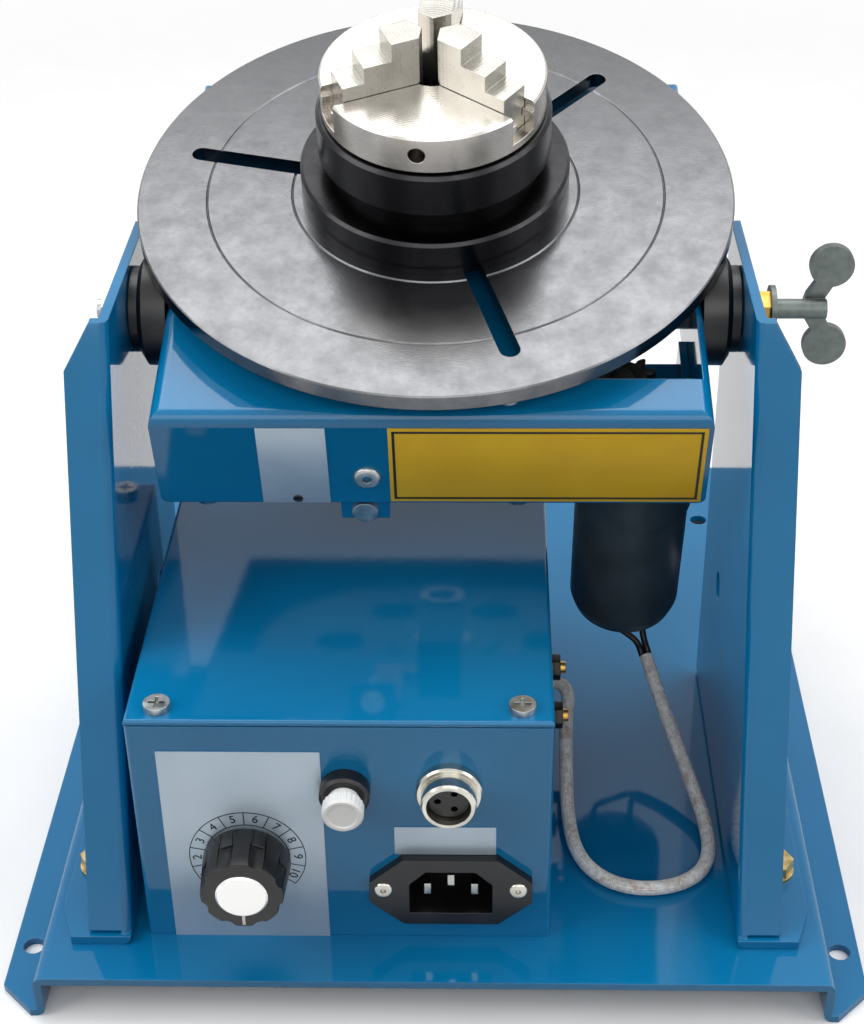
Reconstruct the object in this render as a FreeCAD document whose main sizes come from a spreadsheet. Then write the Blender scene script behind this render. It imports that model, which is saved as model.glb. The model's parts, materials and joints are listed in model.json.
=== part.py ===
"""Bench welding positioner with a 180 mm slotted table and a 65 mm three-jaw chuck.

Millimetres, +Z up, X to the right, Y away from the operator.  The origin is the
middle of the base's footprint, on the bench.  The table is drawn at its rest
tilt, leaning towards the operator.
"""
import FreeCAD, Part
import math
import os
import Sketcher

V = FreeCAD.Vector

SIZES = dict(
    # base: one folded sheet, a raised plate between two outward feet
    base_border=5.0,
    base_depth=292.0,
    base_height=15.3,
    base_sheet=2.5,
    base_foot_width=12.0,
    base_corner_cut=10.0,
    base_bend=3.0,
    base_bolt_hole=6.5,
    base_bolt_inset=26.0,
    base_spare_hole_x=101.2,
    base_spare_hole_y=105.0,
    # uprights: folded sheet, web inside, flanges outside
    upright_gap=182.0,
    upright_sheet=3.0,
    upright_set_back=14.5,
    upright_front_top=66.0,
    upright_rear=-4.0,
    upright_top=191.0,
    upright_flange=12.8,
    upright_cut_wide=7.5,
    upright_cut_high=12.8,
    upright_foot=22.5,
    foot_cut_wide=4.4,
    foot_cut_deep=13.0,
    upright_bend=2.8,
    upright_lead_hole=9.0,
    upright_lead_hole_y=32.7,
    upright_lead_hole_z=79.0,
    foot_bolt_out=14.5,
    foot_bolt_in=30.5,
    foot_bolt_rear=28.0,
    # control box
    box_left=86.3,
    box_right=35.0,
    box_set_back=19.0,
    box_depth=126.6,
    box_top=97.6,
    box_sheet=1.5,
    lid_lip=7.0,
    lid_screw_inset=6.0,
    # tilting pivot
    pivot_y=-26.0,
    pivot_z=175.6,
    rest_tilt=15.7,
    pivot_bolt=6.0,
    pivot_clearance=0.05,
    bush_flange=34.0,
    bush_collar=26.0,
    bush_gap=0.3,
    # cradle: a folded pan, open underneath
    cradle_width=158.0,
    cradle_front=57.4,
    cradle_depth=157.4,
    cradle_rise=11.4,
    cradle_height=35.0,
    cradle_sheet=2.5,
    cradle_bend=4.0,
    cradle_cut_left=36.0,
    cradle_cut_front=41.8,
    cradle_cut_rear=14.0,
    bridge_rear=2.0,
    bridge_flange=12.0,
    lug_left=27.0,
    lug_right=12.7,
    lug_drop=9.6,
    # spindle, gear pair and bearing
    spindle_back=28.6,
    table_rise=23.4,
    spindle_journal=25.0,
    spindle_bore=10.0,
    bearing_outer=47.0,
    bearing_width=12.0,
    housing_outer=64.0,
    gear_module=1.5,
    wheel_teeth=88.0,
    pinion_teeth=12.0,
    gear_face=8.0,
    gear_top=-8.0,
    gear_backlash=0.12,
    # table and chuck
    table_diameter=180.0,
    table_thickness=5.0,
    table_slot_width=6.0,
    table_slot_inner=34.0,
    table_slot_outer=74.4,
    table_slot_angle=47.2,
    scribe_outer=69.0,
    scribe_inner=43.3,
    scribe_width=0.8,
    hub_diameter=80.5,
    hub_height=11.0,
    chuck_plate_diameter=62.0,
    chuck_plate_height=5.0,
    ring_diameter=69.0,
    ring_height=14.0,
    chuck_diameter=65.5,
    chuck_core=52.4,
    chuck_face_height=11.8,
    chuck_bore=16.0,
    chuck_turn=-7.0,
    chuck_gap=0.3,
    jaw_width=9.6,
    jaw_clearance=0.2,
    jaw_slot_depth=9.0,
    jaw_tip=3.0,
    jaw_length=26.0,
    jaw_step=5.0,
    tommy_hole=5.0,
    # geared motor
    motor_shaft_angle=-41.8,
    motor_offset=7.0,
    gearbox_diameter=37.0,
    gearbox_length=30.0,
    motor_diameter=35.4,
    motor_length=56.0,
    motor_shaft=6.0,
    motor_boss=12.0,
    # controls on the front panel
    knob_x=-54.2,
    knob_z=47.3,
    knob_diameter=25.8,
    knob_height=17.0,
    knob_cap=15.2,
    button_x=-24.6,
    control_row_z=73.5,
    button_collar=14.5,
    button_cap=12.0,
    socket_x=5.2,
    socket_flange=19.2,
    socket_thread=16.0,
    inlet_x=5.4,
    inlet_z=35.8,
    inlet_width=48.0,
    inlet_height=25.2,
    inlet_mouth_width=24.6,
    inlet_mouth_height=16.2,
    inlet_screw_rise=1.2,
    inlet_pitch=40.0,
    # inside the box
    transformer_left=80.0,
    transformer_wide=54.0,
    transformer_deep=34.0,
    transformer_tall=44.0,
    board_left=22.0,
    board_wide=50.0,
    board_deep=68.0,
    board_rise=8.0,
    # side studs and motor lead
    stud_front=64.0,
    stud_rear=38.8,
    stud_z=50.0,
    sleeve_diameter=4.5,
    wire_diameter=2.2,
    gland_y=-34.0,
    gland_z=41.0,
)

os.makedirs("parts", exist_ok=True)
doc = FreeCAD.newDocument("welding_positioner")
sheet = doc.addObject("Spreadsheet::Sheet", "Sizes")


class Dim:
    """A size: its number together with the spreadsheet formula that gives it."""

    def __init__(self, value, text):
        self.value = float(value)
        self.text = text

    def __add__(self, other):
        other = dim(other)
        return Dim(self.value + other.value, "(%s + %s)" % (self.text, other.text))

    def __sub__(self, other):
        other = dim(other)
        return Dim(self.value - other.value, "(%s - %s)" % (self.text, other.text))

    def __mul__(self, other):
        other = dim(other)
        return Dim(self.value * other.value, "(%s * %s)" % (self.text, other.text))

    def __truediv__(self, other):
        other = dim(other)
        return Dim(self.value / other.value, "(%s / %s)" % (self.text, other.text))

    def __radd__(self, other):
        return dim(other) + self

    def __rsub__(self, other):
        return dim(other) - self

    def __rmul__(self, other):
        return dim(other) * self

    def __neg__(self):
        return Dim(-self.value, "(-1 * %s)" % self.text)

    def __float__(self):
        return self.value

    def cos(self):
        return Dim(math.cos(math.radians(self.value)), "cos(%s)" % self.text)

    def sin(self):
        return Dim(math.sin(math.radians(self.value)), "sin(%s)" % self.text)

    def root(self):
        return Dim(math.sqrt(self.value), "sqrt(%s)" % self.text)


def dim(thing):
    if isinstance(thing, Dim):
        return thing
    number = float(thing)
    return Dim(number, "(%r)" % number)


class Sheet:
    """Every driving size by its name, as a Dim."""


D = Sheet()
for row, (size_name, size_value) in enumerate(SIZES.items(), start=1):
    sheet.set("A%d" % row, size_name)
    sheet.set("B%d" % row, repr(size_value))
    sheet.setAlias("B%d" % row, size_name)
    setattr(D, size_name, Dim(size_value, "Sizes.%s" % size_name))
doc.recompute()

NODES = []


# ---------------------------------------------------------------- helpers

def new_body(label):
    body = doc.addObject("PartDesign::Body", label)
    body.Label = label
    NODES.append(body)
    return body


def place(thing, x=0, y=0, z=0, axis=None, angle=0):
    """Put an object down, with every coordinate bound to the sheet."""
    x, y, z, angle = dim(x), dim(y), dim(z), dim(angle)
    if angle.value < 0:
        axis, angle = tuple(-part for part in axis), -angle
    turn = FreeCAD.Rotation(V(*(axis or (0, 0, 1))), angle.value)
    thing.Placement = FreeCAD.Placement(V(x.value, y.value, z.value), turn)
    thing.setExpression(".Placement.Base.x", x.text)
    thing.setExpression(".Placement.Base.y", y.text)
    thing.setExpression(".Placement.Base.z", z.text)
    if axis is not None:
        thing.setExpression(".Placement.Rotation.Angle", angle.text)
    return thing


def tilt_place(thing, x=0, y=0, z=0):
    """Place a piece given in the cradle's own axes, whose origin is the pivot."""
    x, y, z = dim(x), dim(y), dim(z)
    lean = D.rest_tilt
    world_y = D.pivot_y + y * lean.cos() - z * lean.sin()
    world_z = D.pivot_z + y * lean.sin() + z * lean.cos()
    return place(thing, x, world_y, world_z, (1, 0, 0), lean)


def origin_item(body, role):
    return [item for item in body.Origin.OriginFeatures if item.Role == role][0]


def new_sketch(body, role, offset=0):
    """A sketch on one of the body's own planes, moved along its normal."""
    sketch = body.newObject("Sketcher::SketchObject", body.Name + "_sketch")
    sketch.AttachmentSupport = [(origin_item(body, role), "")]
    sketch.MapMode = "FlatFace"
    offset = dim(offset)
    sketch.AttachmentOffset = FreeCAD.Placement(V(0, 0, offset.value), FreeCAD.Rotation())
    sketch.setExpression(".AttachmentOffset.Base.z", offset.text)
    return sketch


def bind(sketch, kind, *args):
    """Add a dimensional constraint whose value follows the sheet."""
    value = dim(args[-1])
    number = sketch.addConstraint(Sketcher.Constraint(kind, *args[:-1], value.value))
    sketch.setExpression("Constraints[%d]" % number, value.text)


def fix_point(sketch, geometry, vertex, x, y):
    bind(sketch, "DistanceX", -1, 1, geometry, vertex, x)
    bind(sketch, "DistanceY", -1, 1, geometry, vertex, y)


def outline(sketch, points):
    """A closed polygon with every corner bound."""
    points = [(dim(x), dim(y)) for x, y in points]
    lines = []
    for start, end in zip(points, points[1:] + points[:1]):
        segment = Part.LineSegment(V(start[0].value, start[1].value, 0),
                                   V(end[0].value, end[1].value, 0))
        lines.append(sketch.addGeometry(segment))
    for line, after in zip(lines, lines[1:] + lines[:1]):
        sketch.addConstraint(Sketcher.Constraint("Coincident", line, 2, after, 1))
    for line, (x, y) in zip(lines, points):
        fix_point(sketch, line, 1, x, y)


def rectangle(sketch, left, bottom, right, top):
    outline(sketch, [(left, bottom), (right, bottom), (right, top), (left, top)])


def circle(sketch, x, y, diameter):
    x, y, radius = dim(x), dim(y), dim(diameter) / 2
    ring = Part.Circle(V(x.value, y.value, 0), V(0, 0, 1), radius.value)
    number = sketch.addGeometry(ring)
    fix_point(sketch, number, 3, x, y)
    bind(sketch, "Radius", number, radius)


def slot_along_x(sketch, start, end, width):
    """A round-ended slot on the sketch's X axis."""
    start, end, radius = dim(start), dim(end), dim(width) / 2
    r = radius.value
    arcs = []
    for centre, turn in ((start, 0.5), (end, 1.5)):
        whole = Part.Circle(V(centre.value, 0, 0), V(0, 0, 1), r)
        arc = Part.ArcOfCircle(whole, math.pi * turn, math.pi * (turn + 1))
        arcs.append(sketch.addGeometry(arc))
    lines = []
    for y in (-r, r):
        segment = Part.LineSegment(V(start.value, y, 0), V(end.value, y, 0))
        lines.append(sketch.addGeometry(segment))
    pairs = ((arcs[0], 2, lines[0], 1), (lines[0], 2, arcs[1], 1),
             (arcs[1], 2, lines[1], 2), (lines[1], 1, arcs[0], 1))
    for pair in pairs:
        sketch.addConstraint(Sketcher.Constraint("Tangent", *pair))
    for arc, centre in zip(arcs, (start, end)):
        fix_point(sketch, arc, 3, centre, 0)
    bind(sketch, "Radius", arcs[0], radius)


def pad(body, sketch, length, middle=False, back=False):
    feature = body.newObject("PartDesign::Pad", body.Name + "_pad")
    feature.Profile = sketch
    feature.SideType = "Symmetric" if middle else "One side"
    feature.Reversed = back
    feature.Length = dim(length).value
    feature.setExpression("Length", dim(length).text)
    doc.recompute()
    return feature


def pocket(body, sketch, length=None, middle=False, back=False):
    """Cut into the body and make sure that something was removed."""
    before = body.Shape.Volume
    feature = body.newObject("PartDesign::Pocket", body.Name + "_pocket")
    feature.Profile = sketch
    feature.SideType = "Symmetric" if middle else "One side"
    feature.Reversed = back
    if length is None:
        feature.Type = "ThroughAll"
    else:
        feature.Length = dim(length).value
        feature.setExpression("Length", dim(length).text)
    doc.recompute()
    if body.Shape.Volume > before - 0.01:
        raise RuntimeError("the pocket in %s cut nothing" % body.Label)
    return feature


def revolve(body, sketch, cut=False):
    """Turn a sketch about its own vertical axis."""
    kind = "PartDesign::Groove" if cut else "PartDesign::Revolution"
    feature = body.newObject(kind, body.Name + "_turn")
    feature.Profile = sketch
    feature.ReferenceAxis = (sketch, ["V_Axis"])
    feature.Angle = 360
    doc.recompute()
    return feature


def around(body, feature, count, role="Z_Axis"):
    """Repeat a feature evenly about one of the body's axes."""
    pattern = body.newObject("PartDesign::PolarPattern", body.Name + "_pattern")
    pattern.Originals = [feature]
    pattern.Axis = (origin_item(body, role), [""])
    pattern.Angle = 360
    pattern.Occurrences = int(count)
    body.Tip = pattern
    doc.recompute()
    return pattern


def mirror(body, features, role):
    copy = body.newObject("PartDesign::Mirrored", body.Name + "_mirror")
    copy.Originals = features
    copy.MirrorPlane = (origin_item(body, role), [""])
    body.Tip = copy
    doc.recompute()
    return copy


def edges_where(shape, test):
    """The names of the edges whose ends and middle all pass the test."""
    names = []
    for number, edge in enumerate(shape.Edges, start=1):
        points = [vertex.Point for vertex in edge.Vertexes]
        points.append(edge.valueAt((edge.FirstParameter + edge.LastParameter) / 2))
        if all(test(point) for point in points):
            names.append("Edge%d" % number)
    return names


def soften(body, test, size, chamfer=False):
    """Round or chamfer the edges that pass the test."""
    names = edges_where(body.Tip.Shape, test)
    if not names:
        raise RuntimeError("no edge of %s passes" % body.Label)
    kind = "PartDesign::Chamfer" if chamfer else "PartDesign::Fillet"
    base = body.Tip
    feature = body.newObject(kind, body.Name + "_edge")
    feature.Base = (base, names)
    alias = "Size" if chamfer else "Radius"
    setattr(feature, alias, dim(size).value)
    feature.setExpression(alias, dim(size).text)
    doc.recompute()
    return feature


def near(a, b):
    return abs(a - float(b)) < 0.01


def turned(label, profile):
    """A body turned about its Z axis from (radius, height) points."""
    body = new_body(label)
    sketch = new_sketch(body, "XZ_Plane")
    outline(sketch, profile)
    revolve(body, sketch)
    return body


def solid(kind, name, **sizes):
    """A Part primitive whose sizes are bound to the sheet."""
    thing = doc.addObject("Part::" + kind, name)
    for key, value in sizes.items():
        setattr(thing, key, dim(value).value)
        thing.setExpression(key, dim(value).text)
    return thing


def cylinder(name, diameter, height):
    return solid("Cylinder", name, Radius=dim(diameter) / 2, Height=height)


def block(name, length, width, height):
    return solid("Box", name, Length=length, Width=width, Height=height)


def hexagon(name, across_flats, height):
    prism = doc.addObject("Part::Prism", name)
    prism.Polygon = 6
    corner = dim(across_flats) / dim(30).cos() / 2
    prism.Circumradius = corner.value
    prism.setExpression("Circumradius", corner.text)
    prism.Height = dim(height).value
    prism.setExpression("Height", dim(height).text)
    return prism


def cut(name, base, tool):
    thing = doc.addObject("Part::Cut", name)
    thing.Base = base
    thing.Tool = tool
    return thing


def fuse(name, things):
    thing = doc.addObject("Part::MultiFuse", name)
    thing.Shapes = things
    return thing


def group(label, things):
    """Several separate solids kept in one node."""
    thing = doc.addObject("Part::Compound", label)
    thing.Links = things
    thing.Label = label
    NODES.append(thing)
    return thing


def node(thing, label):
    thing.Label = label
    NODES.append(thing)
    return thing


def cross_head_screw(name, shank, length, head, head_height):
    """A pan-head screw with a cross recess, head up, underside at z = 0."""
    dome = cylinder(name + "_head", head, head_height)
    stem = cylinder(name + "_stem", shank, length)
    place(stem, 0, 0, -dim(length))
    bars = []
    for turn in (0, 90):
        bar = block(name + "_bar", dim(head) * 0.62, dim(head) * 0.13, head_height)
        bar.Placement = FreeCAD.Placement()
        quarter = FreeCAD.Rotation(V(0, 0, 1), turn)
        half = V(dim(head).value * 0.31, dim(head).value * 0.065, 0)
        bar.Placement = FreeCAD.Placement(V(0, 0, dim(head_height).value * 0.45) - quarter.multVec(half), quarter)
        bars.append(bar)
    whole = fuse(name + "_whole", [dome, stem])
    return cut(name, whole, fuse(name + "_cross", bars))


def union(label, things):
    return node(fuse(label, things), label)


def at_pivot(thing, x, turn=90):
    """Stand a piece that is drawn along Z on the pivot line, pointing along +X or -X."""
    return place(thing, x, D.pivot_y, D.pivot_z, (0, 1, 0), turn)


def on_panel(thing, x, z, out=0):
    """Point a piece that is drawn along Z out of the front panel."""
    return place(thing, x, -1 * BOX_FRONT - out, z, (1, 0, 0), 90)


TOP = D.base_height
HALF_GAP = D.upright_gap / 2
HALF_BASE = HALF_GAP + D.upright_foot + D.base_border
UPRIGHT_FRONT = D.base_depth / -2 + D.upright_set_back
BOX_FRONT = D.base_depth / 2 - D.box_set_back
FOOT_BOLT_X = HALF_GAP + D.foot_bolt_out
FOOT_BOLT_FRONT = -1 * UPRIGHT_FRONT - D.foot_bolt_in
HALF_CRADLE = D.cradle_width / 2


# ---------------------------------------------------------------- base and uprights

def make_base_plate():
    """A raised plate between two outward feet, folded from one sheet."""
    body = new_body("base_plate")
    sheet_t = D.base_sheet
    half = HALF_BASE
    inner = half - sheet_t
    foot = half + D.base_foot_width
    sketch = new_sketch(body, "XZ_Plane")
    outline(sketch, [(-foot, 0), (-inner, 0), (-inner, TOP - sheet_t), (inner, TOP - sheet_t),
                     (inner, 0), (foot, 0), (foot, sheet_t), (half, sheet_t), (half, TOP),
                     (-half, TOP), (-half, sheet_t), (-foot, sheet_t)])
    pad(body, sketch, D.base_depth, middle=True)

    def outside_bend(p):
        upper = near(abs(p.x), half) and near(p.z, TOP)
        return upper or (near(abs(p.x), inner) and near(p.z, 0))

    soften(body, outside_bend, D.base_bend)
    corners = new_sketch(body, "XY_Plane")
    end = D.base_depth / 2
    reach = D.base_corner_cut
    for sx in (-1, 1):
        for sy in (-1, 1):
            outline(corners, [(sx * (foot + 1), sy * (end + 1)),
                              (sx * (foot - reach - 1), sy * (end + 1)),
                              (sx * (foot + 1), sy * (end - reach - 1))])
    pocket(body, corners, sheet_t * 2, back=True)
    holes = new_sketch(body, "XY_Plane")
    bolt_x = half + D.base_foot_width / 2
    bolt_y = end - D.base_bolt_inset
    for sx in (-1, 1):
        circle(holes, sx * bolt_x, bolt_y, D.base_bolt_hole)
        circle(holes, sx * bolt_x, -bolt_y, D.base_bolt_hole)
        circle(holes, sx * D.base_spare_hole_x, D.base_spare_hole_y, D.base_bolt_hole)
        circle(holes, sx * FOOT_BOLT_X, -FOOT_BOLT_FRONT, D.base_bolt_hole)
        circle(holes, sx * FOOT_BOLT_X, -D.foot_bolt_rear, D.base_bolt_hole)
    pocket(body, holes, back=True)


def make_upright(label, side):
    """A folded upright: the web is inside, its front and foot flanges point outwards."""
    body = new_body(label)
    t = D.upright_sheet
    face = side * HALF_GAP
    front, rear, top = UPRIGHT_FRONT, -D.upright_rear, D.upright_top
    lean = (-1 * front - D.upright_front_top) / (top - TOP)
    along = (lean * lean + 1).root()
    start = TOP + t + 1
    web = new_sketch(body, "YZ_Plane", face)
    outline(web, [(front, TOP), (-D.upright_front_top, top), (rear, top), (rear, TOP)])
    pad(body, web, t, back=side < 0)
    flange = new_sketch(body, "YZ_Plane", face)
    foot_y = front + lean * (start - TOP)
    outline(flange, [(foot_y, start), (-D.upright_front_top, top),
                     (t * along - D.upright_front_top, top), (foot_y + t * along, start)])
    pad(body, flange, D.upright_flange, back=side < 0)
    foot = new_sketch(body, "YZ_Plane", face)
    rectangle(foot, front, TOP, rear, TOP + t)
    pad(body, foot, D.upright_foot, back=side < 0)

    def bend(p):
        on_front = abs(p.y - (front.value + lean.value * (p.z - TOP.value))) < 0.01
        return near(p.x, face) and (near(p.z, TOP) or (on_front and p.z > TOP.value + t.value - 0.1))

    soften(body, bend, D.upright_bend)
    outer = HALF_GAP + D.upright_flange
    wide, high = D.upright_cut_wide, D.upright_cut_high
    trims = new_sketch(body, "XZ_Plane")
    outline(trims, [(side * (outer - wide * 1.1), top + high * 0.1),
                    (side * (outer + wide * 0.1), top + high * 0.1),
                    (side * (outer + wide * 0.1), top - high * 1.1)])
    pocket(body, trims, back=True)
    edge = HALF_GAP + D.upright_foot
    corner = new_sketch(body, "XY_Plane")
    wide, deep = D.foot_cut_wide, D.foot_cut_deep
    outline(corner, [(side * (edge + wide * 0.1), front - deep * 0.1),
                     (side * (edge - wide * 1.1), front - deep * 0.1),
                     (side * (edge + wide * 0.1), front + deep * 1.1)])
    pocket(body, corner, TOP + t * 2, back=True)
    holes = new_sketch(body, "XY_Plane")
    circle(holes, side * FOOT_BOLT_X, -FOOT_BOLT_FRONT, D.base_bolt_hole)
    circle(holes, side * FOOT_BOLT_X, -D.foot_bolt_rear, D.base_bolt_hole)
    pocket(body, holes, TOP + t * 2, back=True)
    pivots = new_sketch(body, "YZ_Plane")
    circle(pivots, D.pivot_y, D.pivot_z, D.pivot_bolt + D.pivot_clearance * 2)
    circle(pivots, -D.upright_lead_hole_y, D.upright_lead_hole_z, D.upright_lead_hole)
    pocket(body, pivots, back=side > 0)


def foot_places():
    for sx in (-1, 1):
        for y in (FOOT_BOLT_FRONT, D.foot_bolt_rear):
            yield sx * FOOT_BOLT_X, -y


def make_foot_fasteners():
    """Hex bolts down through each upright's foot, with nuts under the base plate."""
    bolts, nuts = [], []
    seat = TOP + D.upright_sheet
    under = TOP - D.base_sheet
    for number, (x, y) in enumerate(foot_places()):
        washer = place(cylinder("foot_washer%d" % number, 12, 1), x, y, seat)
        head = place(hexagon("foot_head%d" % number, 10, 4), x, y, seat + 1)
        stem = place(cylinder("foot_stem%d" % number, 6, 16), x, y, seat - 15)
        bolts.append(fuse("foot_bolt%d" % number, [washer, head, stem]))
        ring = place(hexagon("foot_nut%d" % number, 10, 5), x, y, under - 5)
        hole = place(cylinder("foot_nut_hole%d" % number, 6.1, 7), x, y, under - 6)
        nuts.append(cut("foot_nut_cut%d" % number, ring, hole))
    group("foot_bolts", bolts)
    group("foot_nuts", nuts)


# ---------------------------------------------------------------- control box

BOX_MIDDLE_X = (D.box_right - D.box_left) / 2
BOX_REAR = D.box_depth - BOX_FRONT
LID_GAP = 0.4
INLET_SCREW_Z = D.inlet_z + D.inlet_screw_rise


def make_control_box():
    """Open tray of thin sheet: floor, four walls and two ledges for the lid screws."""
    body = new_body("control_box")
    t = D.box_sheet
    left, right, front, rear = -D.box_left, D.box_right, -BOX_FRONT, BOX_REAR
    wall_top = D.box_top - t - LID_GAP
    floor = new_sketch(body, "XY_Plane", TOP)
    rectangle(floor, left, front, right, rear)
    pad(body, floor, wall_top - TOP)

    def upright_corner(p):
        at_side = near(abs(p.x - BOX_MIDDLE_X.value), (right - left) / 2)
        return at_side and (near(p.y, front) or near(p.y, rear))

    soften(body, upright_corner, t)
    inside = new_sketch(body, "XY_Plane", wall_top)
    rectangle(inside, left + t, front + t, right - t, rear - t)
    pocket(body, inside, wall_top - TOP - t)
    ledges = new_sketch(body, "XY_Plane", D.box_top - t)
    for near_y, far_y in ((front + t, front + t + 9), (rear - t - 9, rear - t)):
        rectangle(ledges, left + t, near_y, right - t, far_y)
    pad(body, ledges, t + LID_GAP, back=True)
    tapped = new_sketch(body, "XY_Plane", D.box_top)
    for x, y in lid_screw_places():
        circle(tapped, x, y, 4.1)
    pocket(body, tapped, t * 3)
    panel = new_sketch(body, "XZ_Plane", BOX_FRONT)
    circle(panel, D.knob_x, D.knob_z, 7.2)
    circle(panel, D.button_x, D.control_row_z, 12)
    circle(panel, D.socket_x, D.control_row_z, D.socket_thread)
    rectangle(panel, D.inlet_x - 14, D.inlet_z - 10, D.inlet_x + 14, D.inlet_z + 10)
    for sx in (-1, 1):
        circle(panel, D.inlet_x + sx * D.inlet_pitch / 2, INLET_SCREW_Z, 3.2)
    pocket(body, panel, t)
    side = new_sketch(body, "YZ_Plane", right)
    circle(side, -D.stud_front, D.stud_z, 4)
    circle(side, -D.stud_rear, D.stud_z, 4)
    circle(side, D.gland_y, D.gland_z, 7)
    pocket(body, side, t)


def lid_screw_places():
    y_front = D.lid_screw_inset - BOX_FRONT
    y_rear = BOX_REAR - D.lid_screw_inset
    for x in (9 - D.box_left, D.box_right - 9):
        for y in (y_front, y_rear):
            yield x, y


def make_box_lid():
    body = new_body("box_lid")
    face = new_sketch(body, "XY_Plane", D.box_top - D.box_sheet)
    rectangle(face, -D.box_left, -BOX_FRONT, D.box_right, BOX_REAR)
    pad(body, face, D.box_sheet)
    soften(body, lambda p: near(p.z, D.box_top), D.box_sheet * 0.7)
    holes = new_sketch(body, "XY_Plane", D.box_top)
    for x, y in lid_screw_places():
        circle(holes, x, y, 4.2)
    pocket(body, holes)


def make_lid_screws():
    screws = []
    for number, (x, y) in enumerate(lid_screw_places()):
        screw = cross_head_screw("lid_screw%d" % number, 4, 7, 7.6, 2.2)
        screws.append(place(screw, x, y, D.box_top))
    group("lid_screws", screws)


def make_inlet():
    """Appliance inlet: chamfered flange, keyed mouth and a back body inside the box."""
    body = new_body("power_inlet")
    wide, tall = D.inlet_width / 2, D.inlet_height / 2
    front = BOX_FRONT
    flange = new_sketch(body, "XZ_Plane", front)
    x, z = D.inlet_x, D.inlet_z
    side = tall * 0.3
    outline(flange, [(x - wide, z - side), (x - wide + 10, z - tall), (x + wide - 10, z - tall),
                     (x + wide, z - side), (x + wide, z + side), (x + wide - 10, z + tall),
                     (x - wide + 10, z + tall), (x - wide, z + side)])
    pad(body, flange, 3)
    back = new_sketch(body, "XZ_Plane", front)
    rectangle(back, x - 13.7, z - 9.7, x + 13.7, z + 9.7)
    pad(body, back, 18, back=True)
    mw, mt = D.inlet_mouth_width / 2, D.inlet_mouth_height / 2
    mouth = new_sketch(body, "XZ_Plane", front + 3)
    outline(mouth, [(x - mw, z - mt), (x + mw, z - mt), (x + mw, z + mt - 5), (x + mw - 5, z + mt),
                    (x - mw + 5, z + mt), (x - mw, z + mt - 5)])
    pocket(body, mouth, 17)
    screws = new_sketch(body, "XZ_Plane", front + 3)
    for sx in (-1, 1):
        circle(screws, x + sx * D.inlet_pitch / 2, INLET_SCREW_Z, 3.1)
    pocket(body, screws, 4)


def make_inlet_pins():
    pins = []
    floor_y = 14 - BOX_FRONT
    for number, (dx, dz) in enumerate(((-7, -2.2), (0, 1.3), (7, -2.2))):
        pin = block("inlet_pin%d" % number, 2, 13, 4)
        place(pin, D.inlet_x + dx - 1, floor_y - 13, D.inlet_z + dz - 2)
        pins.append(pin)
    group("inlet_pins", pins)


def make_inlet_rivets():
    rivets = []
    for number, sx in enumerate((-1, 1)):
        screw = cross_head_screw("inlet_rivet%d" % number, 3, 6.5, 5.4, 1.4)
        rivets.append(on_panel(screw, D.inlet_x + sx * D.inlet_pitch / 2, INLET_SCREW_Z, 3))
    group("inlet_screws", rivets)


def make_socket():
    """Round multi-pin socket for the foot switch: nut, threaded barrel, insert and pins."""
    thread = D.socket_thread / 2
    nut = D.socket_flange / 2
    shell = turned("socket_shell", [(thread - 1.6, -12), (thread - 0.1, -12), (thread - 0.1, 0),
                                    (nut, 0), (nut, 2.4), (nut - 0.5, 3), (thread, 3), (thread, 7.8),
                                    (thread - 0.6, 8.4), (thread - 1.6, 8.4)])
    on_panel(shell, D.socket_x, D.control_row_z)
    insert = turned("socket_insert", [(0, -14), (thread - 1.65, -14), (thread - 1.65, 5),
                                      (thread - 2.4, 5.5), (0, 5.5)])
    holes = new_sketch(insert, "XY_Plane", 5.5)
    for turn in (60, 180, 300):
        circle(holes, dim(turn).cos() * 3.2, dim(turn).sin() * 3.2, 2)
    pocket(insert, holes, 5)
    on_panel(insert, D.socket_x, D.control_row_z)


def make_button():
    """Push button: black threaded collar with a white cap that travels in it."""
    outer = D.button_collar / 2
    cap = D.button_cap / 2
    collar = turned("button_collar", [(0, -16), (cap - 0.1, -16), (cap - 0.1, 0), (outer, 0),
                                      (outer, 4.2), (outer - 0.8, 5), (cap - 1.4, 5), (cap - 1.4, -13.6),
                                      (0, -13.6)])
    on_panel(collar, D.button_x, D.control_row_z)
    stem = cap - 1.4 - D.pivot_clearance
    button = turned("button_cap", [(0, -8), (stem, -8), (stem, 8), (cap, 8), (cap, 11.4),
                                   (cap - 0.7, 12.2), (cap - 1.6, 12.2), (cap - 2, 11.8), (0, 11.8)])
    groove = new_sketch(button, "XY_Plane", 8)
    circle(groove, cap + 0.25, 0, 0.9)
    around(button, pocket(button, groove, 3.2, back=True), 24)
    on_panel(button, D.button_x, D.control_row_z)
    spring = turned("button_spring", [(1.9, -13.6), (3, -13.6), (3, -8.3), (1.9, -8.3)])
    on_panel(spring, D.button_x, D.control_row_z)


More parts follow.
